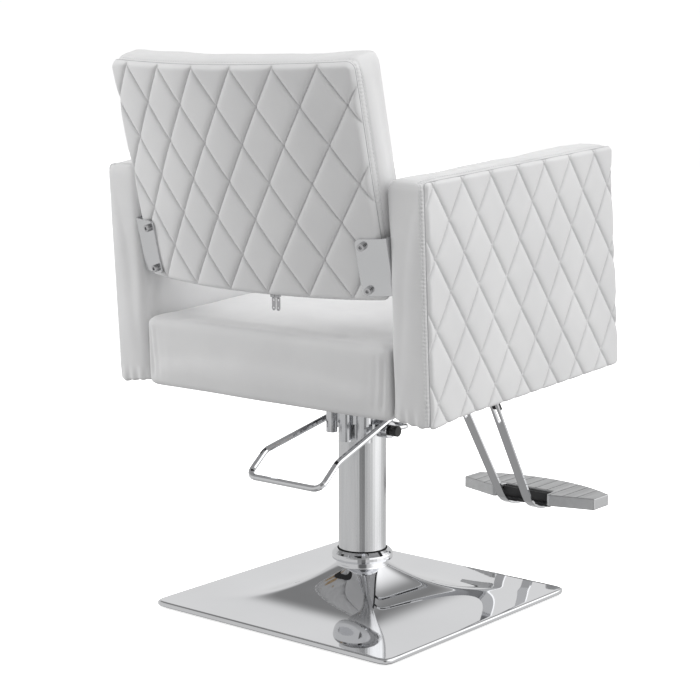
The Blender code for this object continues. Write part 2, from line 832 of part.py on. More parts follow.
def build_back():
    curved_slab(
        "back_board", 0.2180, -0.0203, -0.0086, 0.0085, BACK_HEIGHT - 0.0180, PLYWOOD
    )
    pad = curved_slab(
        "back_pad", BACK_HALF, -BACK_T, -BACK_PANEL_T - GAP, 0, BACK_HEIGHT, LEATHER
    )
    bevel(pad, 0.0100, 2, 60)
    hollow = curved_slab(
        "back_pad_pocket",
        0.2183,
        -0.0206,
        0.0100,
        0.0082,
        BACK_HEIGHT - 0.0177,
        None,
        CUTTERS,
    )
    cut(pad, hollow)
    panel = curved_slab(
        "back_quilted_panel",
        BACK_HALF - 0.0010,
        -BACK_PANEL_T,
        0,
        0.0015,
        BACK_HEIGHT - 0.0015,
        LEATHER,
    )
    board = bpy.data.objects["back_board"]
    for side, label in ((-1, "right"), (1, "left")):
        angle = bracket(side, label)
        for z, level in ((0.0185, "lower"), (0.0830, "upper")):
            seat, out = back_screw_place(side, z)
            for piece in (angle, panel, board):
                drill(piece, seat - out * 0.024, seat + out * 0.004, 0.0036, BACK, 12)
            hex_bolt(
                f"back_screw_{label}_{level}",
                seat + out * GAP,
                seat - out * 0.0150,
                0.0056,
                0.0060,
                0.0030,
                STEEL,
                BACK,
                sides=20,
                socket=0.0029,
            )
            arm_y, arm_z = -0.0400, (0.0240, 0.0780)[level == "upper"]
            inner_face = side * 0.2410
            drill(
                angle,
                (side * 0.2360, arm_y, arm_z),
                (side * 0.2460, arm_y, arm_z),
                0.0034,
                BACK,
                12,
            )
            for piece_name in (f"arm_pad_{label}", f"arm_board_{label}"):
                drill(
                    bpy.data.objects[piece_name],
                    (side * 0.2400, arm_y, arm_z),
                    (side * 0.2810, arm_y, arm_z),
                    0.0034,
                    BACK,
                    12,
                )
            hex_bolt(
                f"arm_screw_{label}_{level}",
                (inner_face - side * GAP, arm_y, arm_z),
                (side * 0.2800, arm_y, arm_z),
                0.0065,
                0.0032,
                0.0029,
                STEEL,
                BACK,
                sides=16,
            )


# ---------------------------------------------------------------- footrest
def splay(obj, side):
    """Leans a bar sideways, so that the two stand wider apart at the top."""
    for vert in obj.data.vertices:
        vert.co.x += side * BAR_SPLAY * (vert.co.z - BAR_FOOT_Z)
    return obj


def bar_line(z, offset=0.0):
    """World y of a footrest bar's centre line at height z, offset towards the chair's front."""
    slope = tan(radians(31.75))
    return -0.4415 + slope * (z - BAR_FOOT_Z) - offset / cos(radians(31.75))


def slot_cutter(name, x, low, high, r):
    """A slot through a bar, square to it, from height low to high."""
    lean = radians(31.75)
    through = Vector((0, cos(lean), -sin(lean))) * 0.012
    ends = [Vector((x, bar_line(z), z)) for z in (low, high)]
    first = cylinder(name, ends[0] - through, ends[0] + through, r, None, WORLD, CUTTERS, 16)
    second = cylinder(
        f"{name}_end", ends[1] - through, ends[1] + through, r, None, WORLD, CUTTERS, 16
    )
    body = box_mesh((-r, -0.012, -(ends[1] - ends[0]).length / 2), (r, 0.012, (ends[1] - ends[0]).length / 2))
    along = Matrix.Rotation(-lean, 4, "X")
    bmesh.ops.transform(
        body, matrix=Matrix.Translation((ends[0] + ends[1]) / 2) @ along, verts=body.verts
    )
    middle = finish_mesh(f"{name}_middle", body, None, WORLD, CUTTERS)
    return first, second, middle


def build_footrest():
    lean = radians(31.75)
    hanger = box(
        "footrest_hanger", (-0.285, -0.2250, 0.3692), (0.285, -0.1950, 0.3729), BLACK_STEEL, SEAT
    )
    offset = BAR_T / 2 + GAP + 0.0020
    for side, label in ((-1, "right"), (1, "left")):
        path = filleted(
            [(0, bar_line(0.3630), 0.3630), (0, bar_line(BAR_FOOT_Z), BAR_FOOT_Z), (0, -0.5000, BAR_FOOT_Z + 0.0012)],
            (0.0560,),
            radians(12),
        )
        bar = extruded(
            f"footrest_bar_{label}",
            strip_outline(path, BAR_T),
            "X",
            side * BAR_X - BAR_W / 2,
            side * BAR_X + BAR_W / 2,
            CHROME,
        )
        splay(bar, side)
        bevel(bar, 0.0007, 1, 60)
        slot_x = side * (BAR_X + BAR_SPLAY * (0.285 - BAR_FOOT_Z))
        for cutter in slot_cutter(f"slot_{label}", slot_x, 0.2460, 0.3300, 0.0036):
            cut(bar, cutter)

        level_y, level_z = seat_to_world(-0.2100, 0.37105)
        bend_y, bend_z = seat_to_world(-0.2600, 0.37105)
        corner_z = bend_z - 0.0005
        tongue = filleted(
            [
                (0, level_y, level_z),
                (0, bar_line(corner_z, offset), corner_z),
                (0, bar_line(0.2680, offset), 0.2680),
            ],
            (0.006,),
            radians(20),
        )
        strip = extruded(
            f"hanger_tongue_{label}",
            strip_outline(tongue, 0.0037),
            "X",
            slot_x - 0.0085,
            slot_x + 0.0085,
            None,
            WORLD,
            CUTTERS,
        )
        weld(hanger, strip)
        hole_z = 0.3050
        out = Vector((0, cos(lean), -sin(lean)))
        centre = Vector((slot_x, bar_line(hole_z), hole_z))
        drill(hanger, centre - out * 0.012, centre + out * 0.004, 0.0034)
        hex_bolt(
            f"footrest_bolt_{label}",
            centre + out * (BAR_T / 2 + GAP),
            centre - out * (BAR_T / 2 + 0.0068),
            0.0062,
            0.0042,
            0.0030,
            STEEL,
        )
    cross_bracket()
    footplate()


def cross_bracket():
    """A black steel channel on the feet of the two bars, which carries the footplate."""
    top = FOOTPLATE_BOTTOM - GAP
    tray = box(
        "footplate_bracket",
        (-0.0520, -0.5080, BAR_FOOT_Z + 0.0042),
        (0.0520, -0.4620, top),
        BLACK_STEEL,
    )
    back = box(
        "bracket_upstand",
        (-0.0500, -0.4720, BAR_FOOT_Z + 0.0050),
        (0.0500, -0.4680, FOOTPLATE_TOP - 0.0040),
        None,
        WORLD,
        CUTTERS,
    )
    weld(tray, back)


def footplate():
    """A cast plate, bowed to the front and tapering to its ends, with a notch at the middle of
    its rear edge, a grooved top and a hollow underside."""
    half, rear_end, front_end, bow = FOOTPLATE_HALF, -0.4712, -0.5180, 0.0370
    bow_r = (half**2 + bow**2) / (2 * bow)
    rear = [(half, rear_end), (0.0600, -0.4470), (0.0540, -0.4500)]
    notch = [(0.0525, -0.4660), (0.0500, -0.4770)]
    front = []
    count = 14
    for i in range(count + 1):
        x = half * (1 - 2 * i / count)
        front.append((x, front_end + (bow_r - bow) - sqrt(bow_r**2 - x**2)))
    outline = [(-x, y) for x, y in rear] + [(-x, y) for x, y in notch]
    outline += [(x, y) for x, y in notch[::-1]] + [(x, y) for x, y in rear[::-1]]
    outline += front
    plate = extruded("footplate", outline, "Z", FOOTPLATE_BOTTOM, FOOTPLATE_TOP, ALUMINIUM)
    bevel(plate, 0.0016, 2, 35)
    pitch, groove_w, groove_d = 0.0240, 0.0018, 0.0014
    for i in range(-5, 6):
        x = pitch * (i + 0.5) if i < 0 else pitch * (i - 0.5)
        if i == 0:
            continue
        pocket(
            plate,
            (x - groove_w / 2, -0.580, FOOTPLATE_TOP - groove_d),
            (x + groove_w / 2, -0.440, FOOTPLATE_TOP + 0.004),
        )
    for x0, x1 in ((-0.1320, -0.0600), (0.0600, 0.1320)):
        pocket(plate, (x0, -0.5120, FOOTPLATE_BOTTOM - 0.01), (x1, -0.4790, FOOTPLATE_TOP - 0.006))
    pocket(
        plate,
        (-0.0560, -0.5400, FOOTPLATE_BOTTOM - 0.01),
        (0.0560, -0.5120, FOOTPLATE_TOP - 0.006),
    )


# ---------------------------------------------------------------- zip
def build_zip():
    """Two sliders meet on the back's lower face, a little in from its rear edge, each with a
    hanging pull."""
    for label in ("right", "left"):
        x, depth = ZIP_X[label], ZIP_DEPTH
        slider = box(
            f"zip_slider_{label}",
            (x - 0.0040, depth - 0.0032, -0.0052),
            (x + 0.0040, depth + 0.0032, -0.0004),
            ZIP_METAL,
            BACK,
        )
        bevel(slider, 0.0008, 1)
        hinge = slider_hinge(label)
        axle_a = hinge + Vector((-0.0022, 0, 0))
        axle_b = hinge + Vector((0.0022, 0, 0))
        lug = box(
            "zip_lug",
            hinge - Vector((0.0008, 0.0012, 0.0006)),
            hinge + Vector((0.0008, 0.0012, 0.0030)),
            None,
            BACK,
            CUTTERS,
        )
        bar = cylinder("zip_axle", axle_a, axle_b, 0.0004, None, BACK, CUTTERS, 8)
        weld(slider, lug)
        weld(slider, bar)
        zip_pull(label)


def slider_hinge(label):
    """Where a pull hangs, in the back frame."""
    return Vector((ZIP_X[label], ZIP_DEPTH, -0.0072))


def zip_pull(label):
    """A tapered tab with a hole, hung from two side cheeks on its slider's axle."""
    turn = Matrix.Rotation(-BACK_RECLINE, 4, "X")
    hinge = slider_hinge(label)
    place = Matrix.Translation((0, BACK_Y, BACK_Z)) @ turn @ Matrix.Translation(hinge)
    at = place.to_translation()
    hanger = frame_empty(f"zip_pull_axis_{label}", at)
    tab = extruded_tab(f"zip_pull_{label}", at)
    tab.parent = hanger
    tab.matrix_parent_inverse = Matrix.Translation(-at)


def extruded_tab(name, at):
    half, length = 0.0030, 0.0180
    bm = bmesh.new()
    outline = [(-half, 0.0012), (-half, -length + 0.003), (-half * 0.5, -length)]
    outline += [(half * 0.5, -length), (half, -length + 0.003), (half, 0.0012)]
    front = [bm.verts.new((at.x + u, at.y - 0.0009, at.z + v)) for u, v in outline]
    rear = [bm.verts.new((at.x + u, at.y + 0.0009, at.z + v)) for u, v in outline]
    bm.faces.new(front)
    bm.faces.new(rear)
    for i in range(len(outline)):
        j = (i + 1) % len(outline)
        bm.faces.new((front[i], front[j], rear[j], rear[i]))
    tab = finish_mesh(name, bm, ZIP_METAL, WORLD)
    window = 0.0016
    pocket(
        tab,
        (at.x - window, at.y - 0.002, at.z - 0.0040),
        (at.x + window, at.y + 0.002, at.z + 0.0035),
    )
    drill(
        tab,
        (at.x, at.y - 0.002, at.z - 0.0140),
        (at.x, at.y + 0.002, at.z - 0.0140),
        0.0016,
        sides=12,
    )
    for end in (-1, 1):
        drill(
            tab,
            (at.x + end * 0.0012, at.y, at.z),
            (at.x + end * 0.0026, at.y, at.z),
            0.0006,
            sides=8,
        )
    return tab


build_base()
build_spindle()
build_column()
build_lever()
build_seat()
build_arms()
build_back()
build_footrest()
build_zip()
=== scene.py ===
"""Looks of the hydraulic styling chair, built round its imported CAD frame."""

import json
from math import ceil, cos, hypot, pi, radians, sin, sqrt

import bmesh
import bpy
import numpy as np
from mathutils import Matrix, Vector
from mathutils.bvhtree import BVHTree


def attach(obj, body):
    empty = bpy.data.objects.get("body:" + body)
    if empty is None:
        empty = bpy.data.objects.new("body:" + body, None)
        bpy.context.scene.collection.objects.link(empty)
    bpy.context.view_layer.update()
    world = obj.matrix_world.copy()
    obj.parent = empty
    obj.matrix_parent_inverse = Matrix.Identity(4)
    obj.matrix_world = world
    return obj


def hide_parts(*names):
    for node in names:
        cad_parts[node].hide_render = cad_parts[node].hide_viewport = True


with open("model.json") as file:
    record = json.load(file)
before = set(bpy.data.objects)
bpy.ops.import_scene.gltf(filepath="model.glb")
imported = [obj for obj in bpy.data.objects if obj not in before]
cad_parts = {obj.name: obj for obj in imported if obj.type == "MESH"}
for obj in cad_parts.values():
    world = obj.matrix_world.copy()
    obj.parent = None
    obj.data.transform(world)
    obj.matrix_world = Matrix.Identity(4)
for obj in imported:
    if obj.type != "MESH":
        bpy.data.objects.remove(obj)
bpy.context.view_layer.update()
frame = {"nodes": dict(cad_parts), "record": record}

# ------------------------------------------------------------------ frames
# The seat frame is upright and is tilted as a whole about a line across the chair. The back frame
# has X across, Y out of the back's rear face and Z up the back from its lower edge.
SEAT_TILT, PIVOT_Z = radians(3.07), 0.400
RECLINE, BACK_Y, BACK_Z = radians(13.67), 0.2285, 0.5300
BACK_R, BACK_HALF, BACK_HEIGHT = 1.0040, 0.2334, 0.3406
BACK_BULGE = BACK_R - sqrt(BACK_R**2 - BACK_HALF**2)
BACK_T = 0.0720


def tilted(points, angle, y0, z0, pivot_z=0.0):
    p = np.asarray(points, float).reshape(-1, 3).copy()
    y, z = p[:, 1], p[:, 2] - pivot_z
    c, s = cos(angle), sin(angle)
    p[:, 1], p[:, 2] = y * c + z * s + y0, -y * s + z * c + z0
    return p


def seat_frame(points):
    return tilted(points, SEAT_TILT, 0, PIVOT_Z, PIVOT_Z)


def back_frame(points):
    return tilted(points, RECLINE, BACK_Y, BACK_Z)


def back_y(x):
    """How far the back's rear face stands out at x, from its two side edges."""
    return np.sqrt(BACK_R**2 - np.square(x)) - (BACK_R - BACK_BULGE)


# ------------------------------------------------------------------ mesh helpers
def new_object(name, mesh):
    obj = bpy.data.objects.new(name, mesh)
    bpy.context.scene.collection.objects.link(obj)
    return obj


def mesh_from(name, verts, faces, smooth=True):
    mesh = bpy.data.meshes.new(name)
    mesh.from_pydata([tuple(v) for v in verts], [], [tuple(f) for f in faces])
    mesh.validate()
    if smooth:
        mesh.shade_smooth()
    return new_object(name, mesh)


def coords(obj):
    out = np.empty(len(obj.data.vertices) * 3, np.float64)
    obj.data.vertices.foreach_get("co", out)
    return out.reshape(-1, 3)


def set_coords(obj, points):
    obj.data.vertices.foreach_set("co", np.asarray(points, np.float32).ravel())
    obj.data.update()


def normals(obj):
    out = np.empty(len(obj.data.vertices) * 3, np.float64)
    obj.data.vertices.foreach_get("normal", out)
    return out.reshape(-1, 3)


def applied(obj):
    """Replaces the object's mesh by what its modifiers make of it."""
    graph = bpy.context.evaluated_depsgraph_get()
    made = bpy.data.meshes.new_from_object(obj.evaluated_get(graph))
    old = obj.data
    obj.modifiers.clear()
    obj.data = made
    bpy.data.meshes.remove(old)
    made.shade_smooth()
    return obj


def subdivided(obj):
    mod = obj.modifiers.new("subdivide", "SUBSURF")
    mod.levels = mod.render_levels = 1
    return applied(obj)


def remeshed(obj, voxel):
    mod = obj.modifiers.new("remesh", "REMESH")
    mod.mode = "VOXEL"
    mod.voxel_size = voxel
    return applied(obj)


def rounded_box(name, lo, hi, radii, segments=5):
    """A box whose edges have their own radii: an edge takes the first whose test both its ends pass."""
    lo, hi = Vector(lo), Vector(hi)
    bm = bmesh.new()
    bmesh.ops.create_cube(bm, size=1)
    bmesh.ops.scale(bm, vec=hi - lo, verts=bm.verts)
    bmesh.ops.translate(bm, vec=(lo + hi) / 2, verts=bm.verts)
    weight = bm.edges.layers.float.new("bevel_weight_edge")
    most = max(r for _, r in radii)
    for edge in bm.edges:
        for test, radius in radii:
            if all(test(v.co) for v in edge.verts):
                edge[weight] = radius / most
                break
    mesh = bpy.data.meshes.new(name)
    bm.to_mesh(mesh)
    bm.free()
    obj = new_object(name, mesh)
    mod = obj.modifiers.new("round", "BEVEL")
    mod.width = most
    mod.segments = segments
    mod.limit_method = "WEIGHT"
    return applied(obj)


def smoothed(obj, rounds, factor):
    """Laplacian smoothing."""
    mesh = obj.data
    count = len(mesh.vertices)
    edges = np.empty(len(mesh.edges) * 2, np.int64)
    mesh.edges.foreach_get("vertices", edges)
    edges = edges.reshape(-1, 2)
    degree = np.bincount(edges.ravel(), minlength=count).reshape(-1, 1)
    points = coords(obj)
    for _ in range(rounds):
        total = np.zeros_like(points)
        np.add.at(total, edges[:, 0], points[edges[:, 1]])
        np.add.at(total, edges[:, 1], points[edges[:, 0]])
        points += factor * (total / np.maximum(degree, 1) - points)
    set_coords(obj, points)
    return obj


def inflated(obj, pressure, cap, held, stiffness=18.0, frames=20):
    """Swells a pad by cloth simulation. held gives each vertex's hold, 1 where it is sewn down,
    and cap is the furthest that a point may move."""
    rest, facing = coords(obj), normals(obj)
    group = obj.vertex_groups.new(name="sewn")
    hold = held(rest)
    for level in np.unique(np.round(hold, 1)):
        if level > 0:
            index = np.flatnonzero(np.round(hold, 1) == level).tolist()
            group.add(index, float(level), "REPLACE")
    mod = obj.modifiers.new("cloth", "CLOTH")
    setting = mod.settings
    setting.quality = 5
    setting.mass = 0.3
    setting.tension_stiffness = stiffness
    setting.compression_stiffness = stiffness
    setting.shear_stiffness = stiffness / 2
    setting.bending_stiffness = 2.0
    setting.use_pressure = True
    setting.uniform_pressure_force = pressure
    setting.vertex_group_mass = "sewn"
    setting.pin_stiffness = 1.0
    setting.effector_weights.gravity = 0.0
    mod.collision_settings.use_collision = False
    mod.point_cache.frame_start = 1
    mod.point_cache.frame_end = frames
    scene = bpy.context.scene
    for step in range(1, frames + 1):
        scene.frame_set(step)
    graph = bpy.context.evaluated_depsgraph_get()
    made = obj.evaluated_get(graph).to_mesh()
    moved = np.empty(len(made.vertices) * 3, np.float64)
    made.vertices.foreach_get("co", moved)
    obj.evaluated_get(graph).to_mesh_clear()
    obj.modifiers.clear()
    scene.frame_set(1)
    shift = moved.reshape(-1, 3) - rest
    # foam behind the cover lets it move out, and hardly in
    out = np.sum(shift * facing, axis=1, keepdims=True)
    shift = 0.25 * (shift - out * facing) + np.maximum(out, -0.0004) * facing
    length = np.linalg.norm(shift, axis=1, keepdims=True)
    limit = cap * np.tanh(length / cap)
    set_coords(obj, rest + shift * limit / np.maximum(length, 1e-9))
    return obj


def ramp(x, start, end):
    """0 before start, 1 after end, smooth between. end may be less than start."""
    t = np.clip((np.asarray(x, float) - start) / (end - start), 0, 1)
    return t * t * (3 - 2 * t)


def waves(points, seed, scale, count=7):
    """Smooth repeatable unevenness from -1 to 1, as a sum of sine waves."""
    rng = np.random.default_rng(seed)
    total = np.zeros(len(points))
    for _ in range(count):
        direction = rng.normal(size=3)
        direction /= np.linalg.norm(direction)
        turns = points @ direction * 2 * pi / (scale * rng.uniform(0.7, 1.5))
        total += np.sin(turns + rng.uniform(0, 2 * pi))
    return total / sqrt(count) * 0.7


# ------------------------------------------------------------------ materials
class Nodes:
    """Small helper to wire a material's nodes."""

    def __init__(self, name):
        self.material = bpy.data.materials.new(name)
        self.material.use_nodes = True
        self.tree = self.material.node_tree
        self.shader = self.tree.nodes["Principled BSDF"]
        self.place = self.add("ShaderNodeTexCoord").outputs["Object"]

    def add(self, kind, inputs=None, **settings):
        node = self.tree.nodes.new(kind)
        for key, value in settings.items():
            setattr(node, key, value)
        for key, value in (inputs or {}).items():
            if isinstance(value, bpy.types.NodeSocket):
                self.tree.links.new(value, node.inputs[key])
            else:
                node.inputs[key].default_value = value
        return node

    def noise(self, scale, detail=3.0, roughness=0.5, stretch=(1, 1, 1)):
        mapped = self.add("ShaderNodeMapping", {"Vector": self.place, "Scale": stretch})
        return self.add(
            "ShaderNodeTexNoise",
            {
                "Vector": mapped.outputs["Vector"],
                "Scale": scale,
                "Detail": detail,
                "Roughness": roughness,
            },
        ).outputs["Fac"]

    def cells(self, scale):
        return self.add(
            "ShaderNodeTexVoronoi", {"Vector": self.place, "Scale": scale}, feature="F1"
        ).outputs["Distance"]

    def span(self, value, low, high, start=0.0, end=1.0):
        return self.add(
            "ShaderNodeMapRange",
            {"Value": value, "From Min": start, "From Max": end, "To Min": low, "To Max": high},
        ).outputs["Result"]

    def blend(self, factor, a, b):
        node = self.add("ShaderNodeMix", data_type="RGBA", blend_type="MIX")
        for socket, value in zip((node.inputs[0], node.inputs[6], node.inputs[7]), (factor, a, b)):
            if isinstance(value, bpy.types.NodeSocket):
                self.tree.links.new(value, socket)
            elif isinstance(value, tuple):
                socket.default_value = (*value, 1)
            else:
                socket.default_value = value
        return node.outputs[2]

    def bump(self, height, distance, strength=1.0, normal=None):
        inputs = {"Height": height, "Distance": distance, "Strength": strength}
        if normal is not None:
            inputs["Normal"] = normal
        return self.add("ShaderNodeBump", inputs).outputs["Normal"]

    def finish(self, **sockets):
        for key, value in sockets.items():
            key = key.replace("_", " ")
            if isinstance(value, bpy.types.NodeSocket):
                self.tree.links.new(value, self.shader.inputs[key])
            else:
                self.shader.inputs[key].default_value = value
        return self.material


def leather(name, light, dark):
    n = Nodes(name)
    cloudy = n.noise(9, 4, 0.55)
    pebble = n.cells(900)
    fine = n.noise(1500, 3, 0.6)
    colour = n.blend(n.span(cloudy, 0, 1, 0.35, 0.65), dark, light)
    colour = n.blend(n.span(pebble, 0.06, 0, 0.0, 0.45), colour, tuple(0.86 * c for c in dark))
    rough = n.span(n.noise(60, 3), 0.40, 0.54, 0.3, 0.7)
    folds = n.bump(n.noise(55, 3, 0.55), 0.0006, 0.22)
    grain = n.bump(pebble, 0.00022, 0.55, folds)
    grain = n.bump(fine, 0.0001, 0.35, grain)
    return n.finish(
        Base_Color=colour,
        Roughness=rough,
        Normal=grain,
        Specular_IOR_Level=0.42,
        Sheen_Weight=0.06,
        Sheen_Roughness=0.5,
    )


def polished(name, rgb, low, high, bump=0.00002):
    n = Nodes(name)
    smear = n.noise(14, 4, 0.6)
    tint = n.blend(n.span(n.noise(5), 0, 1, 0.3, 0.7), rgb, tuple(0.94 * c for c in rgb))
    return n.finish(
        Base_Color=tint,
        Metallic=1.0,
        Roughness=n.span(smear, low, high, 0.3, 0.7),
        Normal=n.bump(n.noise(25, 2), bump, 0.3),
    )


def brushed(name, rgb, stretch, low=0.20, high=0.34):
    """Satin metal: fine lines across the direction in which stretch is large."""
    n = Nodes(name)
    lines = n.noise(60, 4, 0.7, stretch)
    tint = n.blend(n.span(lines, 0, 1, 0.3, 0.7), rgb, tuple(0.88 * c for c in rgb))
    return n.finish(
        Base_Color=tint,
        Metallic=1.0,
        Roughness=n.span(lines, low, high, 0.3, 0.7),
        Normal=n.bump(lines, 0.00004, 0.35),
    )


def dull(name, rgb, rough, grain_scale, bump, spread=0.8, metallic=0.0):
    n = Nodes(name)
    grain = n.noise(grain_scale, 4, 0.6)
    tint = n.blend(n.span(n.noise(30, 3), 0, 1, 0.3, 0.7), rgb, tuple(spread * c for c in rgb))
    return n.finish(
        Base_Color=tint,
        Metallic=metallic,
        Roughness=n.span(grain, rough - 0.08, rough + 0.08, 0.3, 0.7),
        Normal=n.bump(grain, bump, 0.5),
    )


def plywood(name):
    n = Nodes(name)
    rings = n.noise(14, 5, 0.6, (1, 9, 9))
    colour = n.blend(n.span(rings, 0, 1, 0.35, 0.65), (0.62, 0.45, 0.27), (0.45, 0.30, 0.16))
    return n.finish(Base_Color=colour, Roughness=0.65, Normal=n.bump(rings, 0.0003, 0.3))


def woven(name, rgb):
    """Thin non-woven cloth, with the fine square emboss that holds its fibres."""
    n = Nodes(name)
    threads = []
    for profile in ("X", "Y"):
        wave = n.add(
            "ShaderNodeTexWave",
            {"Vector": n.place, "Scale": 110.0, "Distortion": 0.6, "Detail": 1.0},
            bands_direction=profile,
        )
        threads.append(wave.outputs["Fac"])
    weave = n.add("ShaderNodeMath", {0: threads[0], 1: threads[1]}, operation="MULTIPLY")
    weave = weave.outputs["Value"]
    colour = n.blend(weave, tuple(0.6 * c for c in rgb), rgb)
    return n.finish(
        Base_Color=colour, Roughness=0.9, Normal=n.bump(weave, 0.0004, 0.6), Sheen_Weight=0.15
    )


LEATHER = leather("white_leather", (0.77, 0.77, 0.772), (0.73, 0.73, 0.734))
THREAD = dull("white_thread", (0.74, 0.74, 0.75), 0.65, 2500, 0.0001, 0.85)
# dark grey for the cords laid in the seam grooves: painted shade along the seams, not a colour of the
# leather
SEAM_SHADOW = dull("seam_shadow", (0.55, 0.55, 0.56), 0.8, 900, 0.0001, 0.8)
CHROME = polished("mirror_chrome", (0.78, 0.785, 0.80), 0.015, 0.035)
HEAD_CHROME = polished("cast_chrome", (0.66, 0.665, 0.68), 0.10, 0.22, 0.0001)
COLUMN = brushed("satin_column", (0.74, 0.745, 0.755), (1, 1, 0.05), 0.16, 0.26)
BRACKET = polished("bracket_plate", (0.72, 0.725, 0.735), 0.10, 0.20, 0.00003)
PLAIN_STEEL = dull("plain_steel_finish", (0.48, 0.48, 0.49), 0.38, 200, 0.00005, 0.8, 1.0)
FASTENER = dull("zinc_plate", (0.62, 0.62, 0.63), 0.26, 400, 0.00003, 0.85, 1.0)
BLACK_STEEL = dull("black_powder_coat", (0.02, 0.02, 0.021), 0.42, 1200, 0.00008)
CASTING = brushed("polished_casting", (0.60, 0.605, 0.61), (1, 0.04, 1), 0.26, 0.42)
BRONZE = dull("bronze_finish", (0.50, 0.34, 0.16), 0.35, 250, 0.00004, 0.8, 1.0)
RUBBER = dull("moulded_rubber", (0.02, 0.02, 0.02), 0.75, 900, 0.0001)
PLASTIC = dull("black_moulding", (0.016, 0.016, 0.016), 0.38, 1100, 0.00006)
PLYWOOD = plywood("birch_plywood")
DUST_CLOTH = woven("black_dust_cloth", (0.035, 0.035, 0.036))
ZIP_METAL = polished("zip_nickel", (0.52, 0.52, 0.53), 0.15, 0.30)

BY_SLOT = {
    "chrome": CHROME,
    "brushed_column": COLUMN,
    "plain_steel": PLAIN_STEEL,
    "fasteners": FASTENER,
    "black_steel": BLACK_STEEL,
    "cast_aluminium": CASTING,
    "bronze": BRONZE,
    "black_rubber": RUBBER,
    "black_plastic": PLASTIC,
    "plywood": PLYWOOD,
    "white_leather": LEATHER,
    "dust_cloth": DUST_CLOTH,
    "zip_metal": ZIP_METAL,
}
BY_NODE = {
    "pump_head": HEAD_CHROME,
    "back_bracket_left": BRACKET,
    "back_bracket_right": BRACKET,
}
for entry in frame["record"]["subparts"]:
    node = frame["nodes"][entry["node"]]
    look = BY_NODE.get(entry["node"], BY_SLOT[entry["material_slot"]])
    node.data.materials.clear()
    node.data.materials.append(look)


def placed(obj, body, look):
    """The last step for every piece: its look and the body that carries it."""
    obj.data.materials.clear()
    obj.data.materials.append(look)
    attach(obj, body)
    return obj


# ------------------------------------------------------------------ quilting
GROOVE_DEEP, GROOVE_WIDE = 0.0011, 0.0012
STITCH_RADIUS, STITCH_LIFT = 0.00070, 0.00140


class Quilt:
    """Diamond quilting on a flat panel: pitch across, rise between rows of crossings, and one
    crossing at (u0, v0). relief() is the padding's height, which dips below 0 in the groove that
    the stitches pull."""

    def __init__(self, pitch, rise, u0, v0, puff, crease):
        self.pitch, self.rise, self.u0, self.v0 = pitch, rise, u0, v0
        self.puff, self.crease = puff, crease
        self.gap = 1 / hypot(1 / pitch, 1 / (2 * rise))

    def relief(self, u, v):
        a = (u - self.u0) / self.pitch
        b = (v - self.v0) / (2 * self.rise)
        height, groove = 1.0, 0.0
        for phase in (a + b, a - b):
            d = np.abs(phase - np.round(phase)) * self.gap
            slope = 1 - np.exp(-d / self.crease)
            dome = np.sin(np.minimum(1, 2 * d / self.gap) * pi / 2)
            height = height * slope * (0.92 + 0.08 * dome)
            groove = groove + GROOVE_DEEP * np.exp(-np.square(d / GROOVE_WIDE))
        return self.puff * height - groove

    def grid(self, lo, hi):
        """A flat mesh whose edges run along every stitch line, closest together beside it."""
        near = (0, 0.0006, 0.0013, 0.0022, 0.0034, 0.0050, 0.0072, 0.0102, 0.0145, 0.0205)
        steps = [d / self.gap for d in near]
        steps = steps + [0.5] + [1 - t for t in steps[:0:-1]]
        reach = ceil((hi[0] - lo[0]) / self.pitch + (hi[1] - lo[1]) / (2 * self.rise)) + 2
        phases = np.array([k + t for k in range(-reach, reach) for t in steps])
        one, two = np.meshgrid(phases, phases, indexing="ij")
        u = self.u0 + self.pitch * (one + two) / 2
        v = self.v0 + self.rise * (one - two)
        centre_u = (u[:-1, :-1] + u[1:, 1:]) / 2
        centre_v = (v[:-1, :-1] + v[1:, 1:]) / 2
        kept = (centre_u > lo[0] - 0.016) & (centre_u < hi[0] + 0.016)
        kept &= (centre_v > lo[1] - 0.016) & (centre_v < hi[1] + 0.016)
        count = len(phases)
        quads = [
            (i * count + j, (i + 1) * count + j, (i + 1) * count + j + 1, i * count + j + 1)
            for i, j in zip(*np.nonzero(kept))
        ]
        used = {k: n for n, k in enumerate(sorted({k for quad in quads for k in quad}))}
        u, v = u.ravel(), v.ravel()
        bm = bmesh.new()
        corners = [bm.verts.new((u[k], v[k], 0)) for k in used]
        for quad in quads:
            bm.faces.new([corners[used[k]] for k in quad])
        return bm

    def lines(self, inside, step):
        """Stitches of all lines, as pairs of (u, v) ends, where inside(u, v) holds."""
        out = []
        for sign in (1, -1):
            direction = np.array([self.pitch, sign * 2 * self.rise])
            direction /= np.linalg.norm(direction)
            for k in range(-14, 15):
                start = np.array([self.u0 + k * self.pitch, self.v0])
                for j in range(-160, 161):
                    a = start + direction * (j * step)
                    b = a + direction * (step * 0.70)
                    if inside(*a) and inside(*b):
                        out.append((a, b))
        return out


